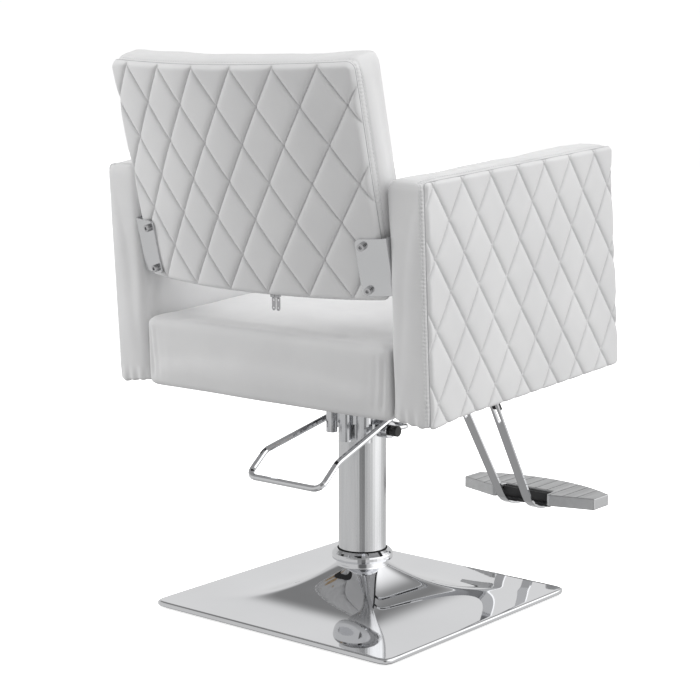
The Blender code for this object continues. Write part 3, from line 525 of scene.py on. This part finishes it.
def threads(name, ends, radius, lift, sides=6):
    """Stitches as one mesh: each is a short bowed thread from a to b, with a normal n."""
    verts, faces = [], []
    # share of the length, rise as a share of lift, and share of the radius
    stations = (
        (0.0, -1.0, 0.55),
        (0.16, 0.25, 0.95),
        (0.5, 0.62, 1.0),
        (0.84, 0.25, 0.95),
        (1.0, -1.0, 0.55),
    )
    for a, b, n in ends:
        along = (b - a) / np.linalg.norm(b - a)
        side = np.cross(n, along)
        side /= np.linalg.norm(side)
        up = np.cross(along, side)
        base = len(verts)
        for t, rise, share in stations:
            centre = a + (b - a) * t + up * (lift * rise)
            for k in range(sides):
                angle = 2 * pi * k / sides
                verts.append(centre + radius * share * (side * cos(angle) + up * sin(angle)))
        rings = len(stations)
        for r in range(rings - 1):
            for k in range(sides):
                m = (k + 1) % sides
                low, high = base + r * sides, base + (r + 1) * sides
                faces.append((low + k, low + m, high + m, high + k))
        faces.append([base + k for k in range(sides)][::-1])
        faces.append([base + (rings - 1) * sides + k for k in range(sides)])
    return mesh_from(name, verts, faces)


def panel_distance(u, v, lo, hi, corner):
    """How far inside a rectangle with rounded corners a point is, below 0 outside it."""
    cu, cv = (lo[0] + hi[0]) / 2, (lo[1] + hi[1]) / 2
    hu, hv = (hi[0] - lo[0]) / 2 - corner, (hi[1] - lo[1]) / 2 - corner
    du, dv = np.abs(u - cu) - hu, np.abs(v - cv) - hv
    outside = np.hypot(np.maximum(du, 0), np.maximum(dv, 0))
    return corner - outside - np.minimum(np.maximum(du, dv), 0)


def outline(lo, hi, corner, inset=0.0, steps=8):
    """The rounded rectangle's outline as (u, v) points, going round."""
    points = []
    for k, (su, sv) in enumerate(((1, 1), (-1, 1), (-1, -1), (1, -1))):
        cu = (hi[0] if su > 0 else lo[0]) - su * corner
        cv = (hi[1] if sv > 0 else lo[1]) - sv * corner
        for i in range(steps + 1):
            angle = (k + i / steps) * pi / 2
            points.append((cu + (corner - inset) * cos(angle), cv + (corner - inset) * sin(angle)))
    return points


def quilted_panel(name, quilt, lo, hi, surface, depth, roll, corner, scallop=0.0):
    """A closed, padded skin over a rectangle of (u, v). surface(u, v, height) maps to points.
    Its face rolls down by depth over the distance roll at its edges, and its back is plain."""
    bm = quilt.grid(lo, hi)
    cu, cv = (lo[0] + hi[0]) / 2, (lo[1] + hi[1]) / 2
    hu, hv = (hi[0] - lo[0]) / 2, (hi[1] - lo[1]) / 2

    def slice_at(su, sv, angle, inset, clear):
        """Cuts along a line that touches the outline, moved in by inset."""
        du, dv = su * cos(angle), sv * sin(angle)
        pu = cu + su * (hu - corner) + du * (corner - inset)
        pv = cv + sv * (hv - corner) + dv * (corner - inset)
        if 0 < angle < pi / 2:
            reach = corner + roll + 0.012
            faces = [
                f
                for f in bm.faces
                if su * (f.calc_center_median().x - cu) > hu - reach
                and sv * (f.calc_center_median().y - cv) > hv - reach
            ]
        else:
            faces = list(bm.faces)
        geometry = list({v for f in faces for v in f.verts} | {e for f in faces for e in f.edges}) + faces
        bmesh.ops.bisect_plane(
            bm, geom=geometry, dist=1e-6, plane_co=(pu, pv, 0), plane_no=(du, dv, 0), clear_outer=clear
        )

    sides = ((1, 1, 0.0), (-1, 1, 0.0), (1, 1, pi / 2), (1, -1, pi / 2))
    for inset in (0.0, 0.0004, 0.0012, 0.0026, 0.0046, 0.0072, 0.0105):
        for su, sv, angle in sides:
            slice_at(su, sv, angle, inset, inset == 0)
    for su in (1, -1):
        for sv in (1, -1):
            for k in range(1, 8):
                slice_at(su, sv, k * pi / 16, 0.0, True)
            for inset in (0.0006, 0.0022, 0.005):
                for k in (1, 3, 5, 7):
                    slice_at(su, sv, k * pi / 16, inset, False)
    bmesh.ops.remove_doubles(bm, verts=bm.verts, dist=5e-6)
    flat = np.array([v.co[:2] for v in bm.verts])
    border = np.array([any(e.is_boundary for e in v.link_edges) for v in bm.verts])
    u, v = flat[:, 0].copy(), flat[:, 1].copy()
    inside = np.where(border, 0, np.maximum(panel_distance(u, v, lo, hi, corner), 0))
    relief = quilt.relief(u, v)
    fade = ramp(inside, -0.001, roll * 1.1)
    drop = depth * (1 - np.sqrt(np.clip(1 - np.square(1 - np.minimum(inside / roll, 1)), 0, 1)))
    height = relief * fade - drop
    if scallop:
        pull = scallop * (1 - relief / quilt.puff) * (1 - ramp(inside, 0.0, roll * 2.2))
        near_u, near_v = np.abs(u - cu) > hu - 0.02, np.abs(v - cv) > hv - 0.02
        u = u - np.sign(u - cu) * pull * near_u
        v = v - np.sign(v - cv) * pull * near_v
    front = surface(u, v, height)
    behind = surface(u, v, np.full(len(u), -depth - 0.002))
    own = {vert: k for k, vert in enumerate(bm.verts)}
    edges = [e for e in bm.edges if e.is_boundary]
    made = bmesh.ops.extrude_edge_only(bm, edges=edges)
    for vert in (g for g in made["geom"] if isinstance(g, bmesh.types.BMVert)):
        source = next(o for e in vert.link_edges if (o := e.other_vert(vert)) in own)
        vert.co = behind[own[source]]
    for vert, k in own.items():
        vert.co = front[k]
    loose = [e for e in bm.edges if e.is_boundary]
    bmesh.ops.holes_fill(bm, edges=loose, sides=0)
    bmesh.ops.recalc_face_normals(bm, faces=bm.faces)
    mesh = bpy.data.meshes.new(name)
    bm.to_mesh(mesh)
    bm.free()
    mesh.shade_smooth()
    return new_object(name, mesh)


def seam_shade_cord(name, points, radius, ring=True):
    """A thin dark cord laid in a seam's groove, as painted shade along the seam; it closes on itself if
    ring holds.
    """
    curve = bpy.data.curves.new(name, "CURVE")
    curve.dimensions = "3D"
    curve.bevel_depth = radius
    curve.bevel_resolution = 2
    spline = curve.splines.new("POLY")
    spline.points.add(len(points) - 1)
    for point, place in zip(spline.points, points):
        point.co = (*place, 1)
    spline.use_cyclic_u = ring
    curve.use_fill_caps = not ring
    holder = new_object(name + "_guide", curve)
    graph = bpy.context.evaluated_depsgraph_get()
    mesh = bpy.data.meshes.new_from_object(holder.evaluated_get(graph))
    bpy.data.objects.remove(holder)
    mesh.shade_smooth()
    return new_object(name, mesh)


def refined(obj, near):
    """Halves the faces whose corners all pass near(points)."""
    chosen = near(coords(obj))
    bm = bmesh.new()
    bm.from_mesh(obj.data)
    bm.verts.ensure_lookup_table()
    edges = [e for e in bm.edges if all(chosen[v.index] for v in e.verts)]
    bmesh.ops.subdivide_edges(bm, edges=edges, cuts=1, use_grid_fill=True)
    bm.to_mesh(obj.data)
    bm.free()
    obj.data.shade_smooth()
    return obj


def surface_row(body, path, step, share=0.72):
    """Stitches that follow a path of points laid on a body's surface."""
    bm = bmesh.new()
    bm.from_mesh(body.data)
    tree = BVHTree.FromBMesh(bm)
    path = np.asarray(path, float)
    lengths = np.linalg.norm(np.diff(path, axis=0), axis=1)
    total = np.concatenate([[0], np.cumsum(lengths)])

    def at(distance):
        where = np.array([np.interp(distance, total, path[:, k]) for k in range(3)])
        spot, normal, _, _ = tree.find_nearest(Vector(where))
        return np.array(spot), np.array(normal)

    ends = []
    for i in range(int(total[-1] / step)):
        a, normal = at(i * step)
        b, _ = at((i + share) * step)
        if np.linalg.norm(b - a) > step * 0.3:
            ends.append((a, b, normal))
    bm.free()
    return ends


# ------------------------------------------------------------------ arms
ARM_INNER, ARM_OUTER, SKIN = 0.2400, 0.3088, 0.0036
ARM_Y, ARM_Z = (-0.2445, 0.2352), (0.3736, 0.7150)
ARM_SEAM_Y = 0.2287
ARM_QUILT = Quilt(0.0677, 0.0505, 0.0410, 0.6570, 0.0044, 0.0033)
LADDER_PITCH = 0.0055


def arm_lean(p):
    """The lower front corner stands forward, the lower rear outer corner hangs, and the top and
    bottom edges close up a little towards the rear."""
    low = ramp(p[:, 2], ARM_Z[1], ARM_Z[0])
    along = (p[:, 1] - ARM_Y[0]) / (ARM_Y[1] - ARM_Y[0])
    p[:, 1] -= 0.015 * low * ramp(p[:, 1], 0.10, ARM_Y[0])
    p[:, 2] += low * (0.0024 * along - 0.0024) + (1 - low) * (0.0014 - 0.0034 * along)
    corner = ramp(p[:, 1], 0.14, ARM_Y[1]) * ramp(np.abs(p[:, 0]), 0.255, 0.300)
    p[:, 2] -= 0.0050 * corner * ramp(p[:, 2], 0.430, 0.380)
    return p


def arm_body(side, label):
    """The boxing and inner face of an arm: soft, with rounded inner edges."""
    seam = ARM_OUTER - SKIN
    inset = 0.0006
    bottom = ARM_Z[0] + 0.0012
    lo = (min(side * (ARM_INNER + inset), side * seam), ARM_Y[0] + inset, bottom)
    hi = (max(side * (ARM_INNER + inset), side * seam), ARM_Y[1], ARM_Z[1])

    def inner(p):
        return abs(abs(p.x) - ARM_INNER - inset) < 1e-5

    # the lower inner edge, the other inner edges, the top rear edge, the other rear edges, the rest
    radii = (
        (lambda p: inner(p) and p.z < ARM_Z[1] - 0.05, 0.006),
        (inner, 0.014),
        (lambda p: p.y > ARM_Y[1] - 0.01 and p.z > ARM_Z[1] - 0.01, 0.011),
        (lambda p: p.y > ARM_Y[1] - 0.01, 0.0035),
        (lambda p: True, 0.0030),
    )
    obj = rounded_box(f"arm_body_{label}", lo, hi, radii)
    remeshed(obj, 0.0045)

    def held(p):
        near_seam = ramp(side * p[:, 0], seam - 0.012, seam - 0.002)
        near_floor = ramp(p[:, 2], bottom + 0.010, bottom + 0.002)
        return np.maximum(near_seam, near_floor)

    inflated(obj, 4.0, 0.0040, held)
    smoothed(obj, 2, 0.5)
    subdivided(obj)
    refined(obj, lambda p: side * p[:, 0] > seam - 0.019)
    p, n = coords(obj), normals(obj)
    # gathers that run in from the seam, and slow unevenness of the foam
    rear = ramp(p[:, 1], ARM_SEAM_Y, ARM_Y[1] - 0.001)
    off = seam - side * p[:, 0] + 0.007 * rear
    along = np.where(np.abs(n[:, 1]) > np.abs(n[:, 2]), p[:, 2], p[:, 1])
    face = np.maximum(ramp(np.abs(n[:, 0]), 0.6, 0.2), rear)
    uneven = 0.55 + 0.45 * waves(p, 41 + side, 0.05)
    gather = ramp(off, 0.016, 0.006) * ramp(off, 0.0005, 0.0035)
    sway = 0.12 * waves(p, 43 + side, 0.03)
    pucker = 0.0011 * gather * uneven * np.cos(2 * pi * (along / LADDER_PITCH + sway))
    sunk = -0.0011 * np.exp(-np.square((off - 0.0098) / 0.0022))
    slow = 0.0009 * waves(p, 11 + side, 0.11) * ramp(off, 0.004, 0.024)
    p = p + n * ((pucker + sunk) * face + slow)[:, None]
    crown = ramp(off, 0.0, 0.022) * ramp(side * p[:, 0], ARM_INNER, ARM_INNER + 0.016)
    p[:, 2] += 0.0034 * crown * ramp(n[:, 2], 0.2, 0.8)
    folds = np.sin(2 * pi * (p[:, 1] * 0.3 + side * p[:, 0]) / 0.017) * 0.0012
    p = p + n * (folds * np.exp(-np.square((p[:, 2] - bottom - 0.008) / 0.014)))[:, None]
    set_coords(obj, seat_frame(arm_lean(p)))
    return obj


def arm_panel(side, label):
    lo, hi, corner = (ARM_Y[0] + 0.0008, ARM_Z[0]), (ARM_SEAM_Y, ARM_Z[1] - 0.0006), 0.007

    def surface(u, v, height):
        x = ARM_OUTER - 0.0030 + height
        slow = 0.0004 * waves(np.stack([u * 0, u, v], 1), 5 + side, 0.16)
        return seat_frame(arm_lean(np.stack([side * (x + slow), u, v], 1)))

    panel = quilted_panel(
        f"arm_quilting_{label}", ARM_QUILT, lo, hi, surface, 0.0012, 0.0036, corner, scallop=0.0008
    )

    def inside(u, v):
        return panel_distance(u, v, lo, hi, corner) > 0.0055

    def spot(u, v):
        return surface(np.array([u]), np.array([v]), ARM_QUILT.relief(np.array([u]), np.array([v])))[0]

    out = seat_frame([[side, 0, PIVOT_Z]])[0] - seat_frame([[0, 0, PIVOT_Z]])[0]
    ends = [(spot(*a), spot(*b), out) for a, b in ARM_QUILT.lines(inside, 0.0052)]
    stitches = threads(f"arm_stitches_{label}", ends, STITCH_RADIUS, STITCH_LIFT)
    edge = np.array(outline(lo, hi, corner, 0.0002))
    edge = np.concatenate([[[hi[0] - 0.0002, lo[1] + 0.006]], edge[:18], [[lo[0] + 0.0002, lo[1] + 0.006]]])
    # a dark grey cord just under the panel's edge: painted shade along the seam's groove
    cord = seam_shade_cord(
        f"arm_seam_{label}", surface(edge[:, 0], edge[:, 1], np.full(len(edge), -0.0009)), 0.0006, False
    )
    return panel, stitches, cord


def build_arm(side, label):
    body = placed(arm_body(side, label), "chair", LEATHER)
    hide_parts(f"arm_pad_{label}")
    panel, stitches, cord = arm_panel(side, label)
    placed(panel, "chair", LEATHER)
    placed(stitches, "chair", THREAD)
    placed(cord, "chair", SEAM_SHADOW)
    x = side * (ARM_OUTER - SKIN - 0.0098)
    lo, hi = ARM_Z[0] + 0.009, ARM_Z[1]
    path = [(x + side * 0.007, ARM_Y[1], lo), (x + side * 0.007, ARM_Y[1], hi - 0.012)]
    path += [(x + side * 0.003, ARM_Y[1], hi - 0.004), (x, ARM_Y[1] - 0.008, hi)]
    path += [(x, ARM_Y[0] + 0.004, hi), (x, ARM_Y[0], hi - 0.004), (x, ARM_Y[0], lo)]
    row = surface_row(body, seat_frame(path), 0.0055)
    placed(threads(f"arm_seam_stitches_{label}", row, 0.0004, 0.0003), "chair", THREAD)


# ------------------------------------------------------------------ seat
SEAT_HALF, SEAT_Y, SEAT_Z = 0.2388, (-0.2510, 0.2408), (0.3765, 0.4840)


def build_seat():
    inset = 0.003
    lo = (-SEAT_HALF + 0.001, SEAT_Y[0] + inset, SEAT_Z[0] - 0.0045)
    hi = (SEAT_HALF - 0.001, SEAT_Y[1] - inset, SEAT_Z[1] - 0.003)

    def top(p):
        return p.z > SEAT_Z[1] - 0.02

    radii = (
        (lambda p: p.z < SEAT_Z[0] + 0.01, 0.006),
        (lambda p: top(p) and p.y > 0.2, 0.009),
        (top, 0.014),
        (lambda p: True, 0.007),
    )
    obj = rounded_box("seat_pad", lo, hi, radii, 6)
    remeshed(obj, 0.0060)

    def held(p):
        return ramp(p[:, 2], SEAT_Z[0] + 0.016, SEAT_Z[0] + 0.003)

    inflated(obj, 4.5, 0.0036, held, 14.0)
    smoothed(obj, 2, 0.5)
    subdivided(obj)
    p, n = coords(obj), normals(obj)
    p[:, 0] = np.clip(p[:, 0], -0.2404, 0.2404)
    # creases that run up the rear and front faces near the arms, where the cover is pulled in
    face = np.abs(n[:, 1])
    for side in (-1, 1):
        for shift, width, deep in ((0.009, 0.0040, 0.0036), (0.021, 0.006, 0.0022), (0.034, 0.008, 0.0010)):
            at = SEAT_HALF - shift - 0.004 * ramp(p[:, 2], 0.46, 0.39)
            crease = np.exp(-np.square((side * p[:, 0] - at) / width))
            fade = ramp(p[:, 2], 0.478, 0.450) * ramp(p[:, 2], 0.376, 0.40)
            p = p - n * (deep * crease * fade * face)[:, None]
    crown = ramp(np.abs(p[:, 0]), 0.235, 0.10) * ramp(np.abs(p[:, 1] + 0.008), 0.235, 0.10)
    up = ramp(n[:, 2], 0.3, 0.9)
    p[:, 2] += 0.004 * crown * up
    # a shallow trough behind the sitter's place, before the rolled rear edge
    trough = np.exp(-np.square((p[:, 1] - 0.178) / 0.022)) * ramp(np.abs(p[:, 0]), 0.235, 0.17)
    p[:, 2] -= 0.0030 * trough * up
    p = p + n * ((0.0004 + 0.0006 * up) * waves(p, 3, 0.13))[:, None]
    set_coords(obj, seat_frame(p))
    placed(obj, "chair", LEATHER)
    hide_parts("seat_cushion")


# ------------------------------------------------------------------ back
BACK_QUILT = Quilt(0.0741, 0.0553, -0.0291, 0.3360, 0.0048, 0.0034)
BACK_SKIN = 0.0065


def build_back():
    seam = BACK_SKIN
    columns, half = 24, BACK_HALF - 0.0008
    # the boxing and front of the pad, from a curved slab
    verts, faces = [], []
    low, high = 0.0006, BACK_HEIGHT - 0.0006
    for i in range(columns + 1):
        x = -half + 2 * half * i / columns
        y = float(back_y(x))
        for depth, z in ((-BACK_T + 0.003, low), (-seam, low), (-seam, high), (-BACK_T + 0.003, high)):
            verts.append((x, y + depth, z))
    for i in range(columns):
        for k in range(4):
            m = (k + 1) % 4
            faces.append((4 * i + k, 4 * i + m, 4 * i + 4 + m, 4 * i + 4 + k))
    faces.append((0, 3, 2, 1))
    faces.append(tuple(4 * columns + k for k in range(4)))
    obj = mesh_from("back_pad_body", verts, faces)
    bm = bmesh.new()
    bm.from_mesh(obj.data)
    bmesh.ops.recalc_face_normals(bm, faces=bm.faces)
    bm.to_mesh(obj.data)
    bm.free()
    weights = obj.data.attributes.new("bevel_weight_edge", "FLOAT", "EDGE")
    local = coords(obj)
    for edge in obj.data.edges:
        a, b = (local[k] for k in edge.vertices)
        front = all(p[1] - float(back_y(p[0])) < -BACK_T + 0.01 for p in (a, b))
        ends = all(abs(abs(p[0]) - half) < 1e-5 for p in (a, b))
        tall = abs(a[2] - b[2]) > 0.1
        across = abs(a[0] - b[0]) > 1e-4
        if front and (across or (ends and tall)):
            weights.data[edge.index].value = 1.0
        elif ends and not tall and not front:
            weights.data[edge.index].value = 0.6
        elif (across and not tall) or (ends and tall):
            weights.data[edge.index].value = 0.16
    mod = obj.modifiers.new("round", "BEVEL")
    mod.width = 0.016
    mod.segments = 5
    mod.limit_method = "WEIGHT"
    applied(obj)
    remeshed(obj, 0.0050)

    def depth_of(p):
        return p[:, 1] - back_y(np.clip(p[:, 0], -BACK_HALF, BACK_HALF))

    def held(p):
        return ramp(depth_of(p), -seam - 0.012, -seam - 0.002)

    inflated(obj, 4.5, 0.0075, held, 14.0)
    smoothed(obj, 2, 0.5)
    subdivided(obj)
    refined(obj, lambda p: depth_of(p) > -seam - 0.016)
    p, n = coords(obj), normals(obj)
    d = depth_of(p)
    ladder_at = -seam - 0.0085
    off = -seam - d
    aside = ramp(np.abs(n[:, 1]), 0.85, 0.5)
    along = np.where(np.abs(n[:, 2]) > np.abs(n[:, 0]), p[:, 0], p[:, 2])
    gather = ramp(off, 0.013, 0.006) * ramp(off, 0.0005, 0.003)
    uneven = 0.5 + 0.5 * waves(p, 51, 0.05)
    pucker = 0.00032 * gather * uneven * np.cos(2 * pi * (along / LADDER_PITCH + 0.12 * waves(p, 53, 0.03)))
    sunk = -0.0008 * np.exp(-np.square((d - ladder_at) / 0.0020))
    slow = 0.0012 * waves(p, 23, 0.12) * ramp(off, 0.003, 0.02)
    p = p + n * ((sunk + pucker) * aside + slow)[:, None]
    p[:, 2] += 0.0045 * ramp(off, 0.0, 0.020) * ramp(n[:, 2], 0.3, 0.9)
    set_coords(obj, back_frame(p))
    placed(obj, "chair", LEATHER)
    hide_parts("back_pad", "back_quilted_panel")

    def surface(u, v, height):
        slow = 0.0008 * waves(np.stack([u, u * 0, v], 1), 31, 0.15)
        a = np.arcsin(np.clip(u / BACK_R, -1, 1))
        r = BACK_R + height - 0.0035 + slow
        return back_frame(np.stack([r * np.sin(a), r * np.cos(a) - (BACK_R - BACK_BULGE), v], 1))

    lo, hi, corner = (-BACK_HALF + 0.0008, 0.0006), (BACK_HALF - 0.0008, BACK_HEIGHT - 0.0006), 0.012
    panel = quilted_panel(
        "back_quilting", BACK_QUILT, lo, hi, surface, 0.0035, 0.0060, corner
    )
    edge = np.array(outline(lo, hi, corner, 0.0002))
    cuts = [np.linspace(a, b, 24, endpoint=False) for a, b in zip(edge, np.roll(edge, -1, axis=0))]
    edge = np.concatenate(cuts)
    # a dark grey cord round the panel in its seam groove: painted shade along the seam
    cord = seam_shade_cord("back_seam", surface(edge[:, 0], edge[:, 1], np.full(len(edge), -0.0032)), 0.0007)
    placed(cord, "chair", SEAM_SHADOW)
    placed(panel, "chair", LEATHER)

    def inside(u, v):
        return panel_distance(u, v, lo, hi, corner) > 0.0055

    def spot(u, v):
        u, v = np.array([u]), np.array([v])
        return surface(u, v, BACK_QUILT.relief(u, v))[0]

    ends = []
    zero = back_frame([[0, 0, 0]])[0]
    for a, b in BACK_QUILT.lines(inside, 0.0055):
        lean = a[0] / BACK_R
        out = back_frame([[sin(lean), cos(lean), 0]])[0] - zero
        ends.append((spot(*a), spot(*b), out))
    placed(threads("back_stitches", ends, STITCH_RADIUS, STITCH_LIFT), "chair", THREAD)

    path = []
    depth = ladder_at
    for z in np.linspace(0.010, BACK_HEIGHT - 0.012, 20):
        path.append((-BACK_HALF, float(back_y(BACK_HALF)) + depth, z))
    for x in np.linspace(-BACK_HALF + 0.012, BACK_HALF - 0.012, 40):
        path.append((x, float(back_y(x)) + depth, BACK_HEIGHT))
    for z in np.linspace(BACK_HEIGHT - 0.012, 0.010, 20):
        path.append((BACK_HALF, float(back_y(BACK_HALF)) + depth, z))
    row = surface_row(obj, back_frame(path), 0.0055)
    placed(threads("back_seam_stitches", row, 0.0004, 0.0003), "chair", THREAD)


# ------------------------------------------------------------------ base
def build_base():
    """The pressed pan again, with a far finer mesh so that its mirror finish runs smoothly."""
    half, neck_r, neck_z, rim_z = 0.2350, 0.0405, 0.0720, 0.0120
    angles = np.arange(240) / 60 * pi / 2
    # each ring is its reach along the axes, its height and the power that squares its outline
    rings = [(neck_r + 0.0004 * k, neck_z - 0.003 * k, 2.0) for k in range(3)]
    for i in range(1, 73):
        t = (i / 72) ** 1.5
        height = rim_z + (neck_z - 0.008 - rim_z) * (1 - t * 0.985) ** 4.3
        rings.append((neck_r + (half - neck_r) * t * 0.985, height, 2.1 + 38 * t**1.1))
    for a in np.linspace(10, 90, 7):
        c, s = cos(radians(a)), sin(radians(a))
        rings.append((half - 0.0031 + 0.0031 * s, rim_z - 0.0031 * (1 - c), 40))
    rings.append((half, rim_z - 0.0060, 40))
    rings.append((half - 0.0005, rim_z - 0.0082, 40))
    rings.append((half - 0.0018, rim_z - 0.0085, 40))
    rings.append((half - 0.0022, rim_z - 0.0060, 40))
    verts, faces = [], []
    for reach, z, power in rings:
        c, s = np.abs(np.cos(angles)), np.abs(np.sin(angles))
        r = reach / (c**power + s**power) ** (1 / power)
        verts.extend(zip(r * np.cos(angles), r * np.sin(angles), np.full(len(angles), z)))
    count = len(angles)
    for k in range(len(rings) - 1):
        for i in range(count):
            j = (i + 1) % count
            faces.append((k * count + i, (k + 1) * count + i, (k + 1) * count + j, k * count + j))
    obj = mesh_from("base_pan", verts, faces)
    placed(obj, "base", CHROME)
    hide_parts("base_shell")


# ------------------------------------------------------------------ camera, light, floor
def build_camera():
    data = bpy.data.cameras.new("camera")
    data.sensor_width = 36.0
    data.lens = 96.7
    camera = new_object("camera", data)
    right = Vector((-0.7733, -0.6340, -0.0012))
    up = Vector((0.1036, -0.1282, 0.9863))
    back = right.cross(up).normalized()
    right = up.cross(back).normalized()
    turn = Matrix((right, up, back)).transposed().to_4x4()
    camera.matrix_world = Matrix.Translation((-1.8324, 2.2646, 0.8951)) @ turn
    bpy.context.scene.camera = camera


def build_studio():
    """A pale floor under soft light. The surroundings' brightness differs by direction and is what
    the metal mirrors. The lamps light the chair, and the metal doesn't mirror them."""
    scene = bpy.context.scene
    scene.view_settings.view_transform = "Standard"
    world = bpy.data.worlds.new("studio")
    scene.world = world
    world.use_nodes = True
    tree = world.node_tree
    background = tree.nodes["Background"]

    def math(operation, a, b=0.0, c=0.0):
        node = tree.nodes.new("ShaderNodeMath")
        node.operation = operation
        for socket, value in zip(node.inputs, (a, b, c)):
            if isinstance(value, bpy.types.NodeSocket):
                tree.links.new(value, socket)
            else:
                socket.default_value = value
        return node.outputs[0]

    ray = tree.nodes.new("ShaderNodeTexCoord").outputs["Generated"]
    split = tree.nodes.new("ShaderNodeSeparateXYZ")
    tree.links.new(ray, split.inputs[0])
    total = AMBIENT
    for start, end, power in DIMMING:
        edge = tree.nodes.new("ShaderNodeMapRange")
        edge.interpolation_type = "SMOOTHSTEP"
        tree.links.new(split.outputs["Z"], edge.inputs["Value"])
        edge.inputs["From Min"].default_value = min(start, end)
        edge.inputs["From Max"].default_value = max(start, end)
        edge.inputs["To Min" if end < start else "To Max"].default_value = power
        edge.inputs["To Max" if end < start else "To Min"].default_value = 0
        total = math("ADD", edge.outputs["Result"], total)
    for direction, inner, outer, power in SOFTBOXES:
        dot = tree.nodes.new("ShaderNodeVectorMath")
        dot.operation = "DOT_PRODUCT"
        tree.links.new(ray, dot.inputs[0])
        dot.inputs[1].default_value = Vector(direction).normalized()
        edge = tree.nodes.new("ShaderNodeMapRange")
        edge.interpolation_type = "SMOOTHSTEP"
        tree.links.new(dot.outputs["Value"], edge.inputs["Value"])
        edge.inputs["From Min"].default_value = cos(radians(outer))
        edge.inputs["From Max"].default_value = cos(radians(inner))
        edge.inputs["To Max"].default_value = power
        total = math("ADD", edge.outputs["Result"], total)
    seen = tree.nodes.new("ShaderNodeLightPath").outputs["Is Camera Ray"]
    strength = math("MAXIMUM", math("MULTIPLY", seen, 1.02), total)
    tree.links.new(strength, background.inputs["Strength"])
    background.inputs["Color"].default_value = (1, 1, 1, 1)
    floor = mesh_from(
        "floor", [(-9, -9, 0), (9, -9, 0), (9, 9, 0), (-9, 9, 0)], [(0, 1, 2, 3)], False
    )
    n = Nodes("floor_paint")
    n.finish(
        Base_Color=n.blend(n.span(n.noise(0.7), 0, 1), (0.95, 0.95, 0.95), (0.93, 0.93, 0.93)),
        Roughness=0.8,
        Specular_IOR_Level=0.2,
        Emission_Color=(1.0, 1.0, 1.0, 1.0),
        Emission_Strength=0.8,
    )
    floor.data.materials.append(n.material)
    # the floor glows, so shadows on it are faint, and it throws no light up and isn't mirrored
    floor.visible_diffuse = floor.visible_glossy = False
    for name, size, energy, place in LAMPS:
        lamp = bpy.data.lights.new(name, "AREA")
        lamp.shape = "RECTANGLE"
        lamp.size, lamp.size_y, lamp.energy = (*size, energy)
        light = new_object(name, lamp)
        place, target = Vector(place), Vector((0, 0.1, 0.52))
        light.matrix_world = (
            Matrix.Translation(place) @ (target - place).to_track_quat("-Z", "Y").to_matrix().to_4x4()
        )
        light.visible_camera = light.visible_glossy = False


# name, size, power and place
LAMPS = (
    ("left_softbox", (0.8, 1.1), 9.5, (1.35, 0.95, 0.85)),
    ("front_softbox", (1.4, 0.9), 20.0, (0.7, -1.90, 1.60)),
    ("top_softbox", (1.6, 1.4), 15.5, (-0.35, 0.55, 2.60)),
)
AMBIENT = 0.66
# heights of the ray between which the walls darken, towards the ceiling and the ground
DIMMING = ((0.38, 0.60, -0.42), (-0.55, -0.85, -0.33))
# direction, the angles where its edge starts and ends, strength. The last is a dark patch
SOFTBOXES = (
    ((-0.15, -0.15, 1.0), 30, 50, 0.16),
    ((0.60, -0.76, 0.24), 6, 20, 0.14),
    ((-1.0, -0.50, 0.60), 30, 55, 0.95),
    ((-0.6255, 0.7626, 0.0), 11, 24, -0.52),
)

build_camera()
build_studio()
build_base()
for side, label in ((-1, "right"), (1, "left")):
    build_arm(side, label)
build_seat()
build_back()
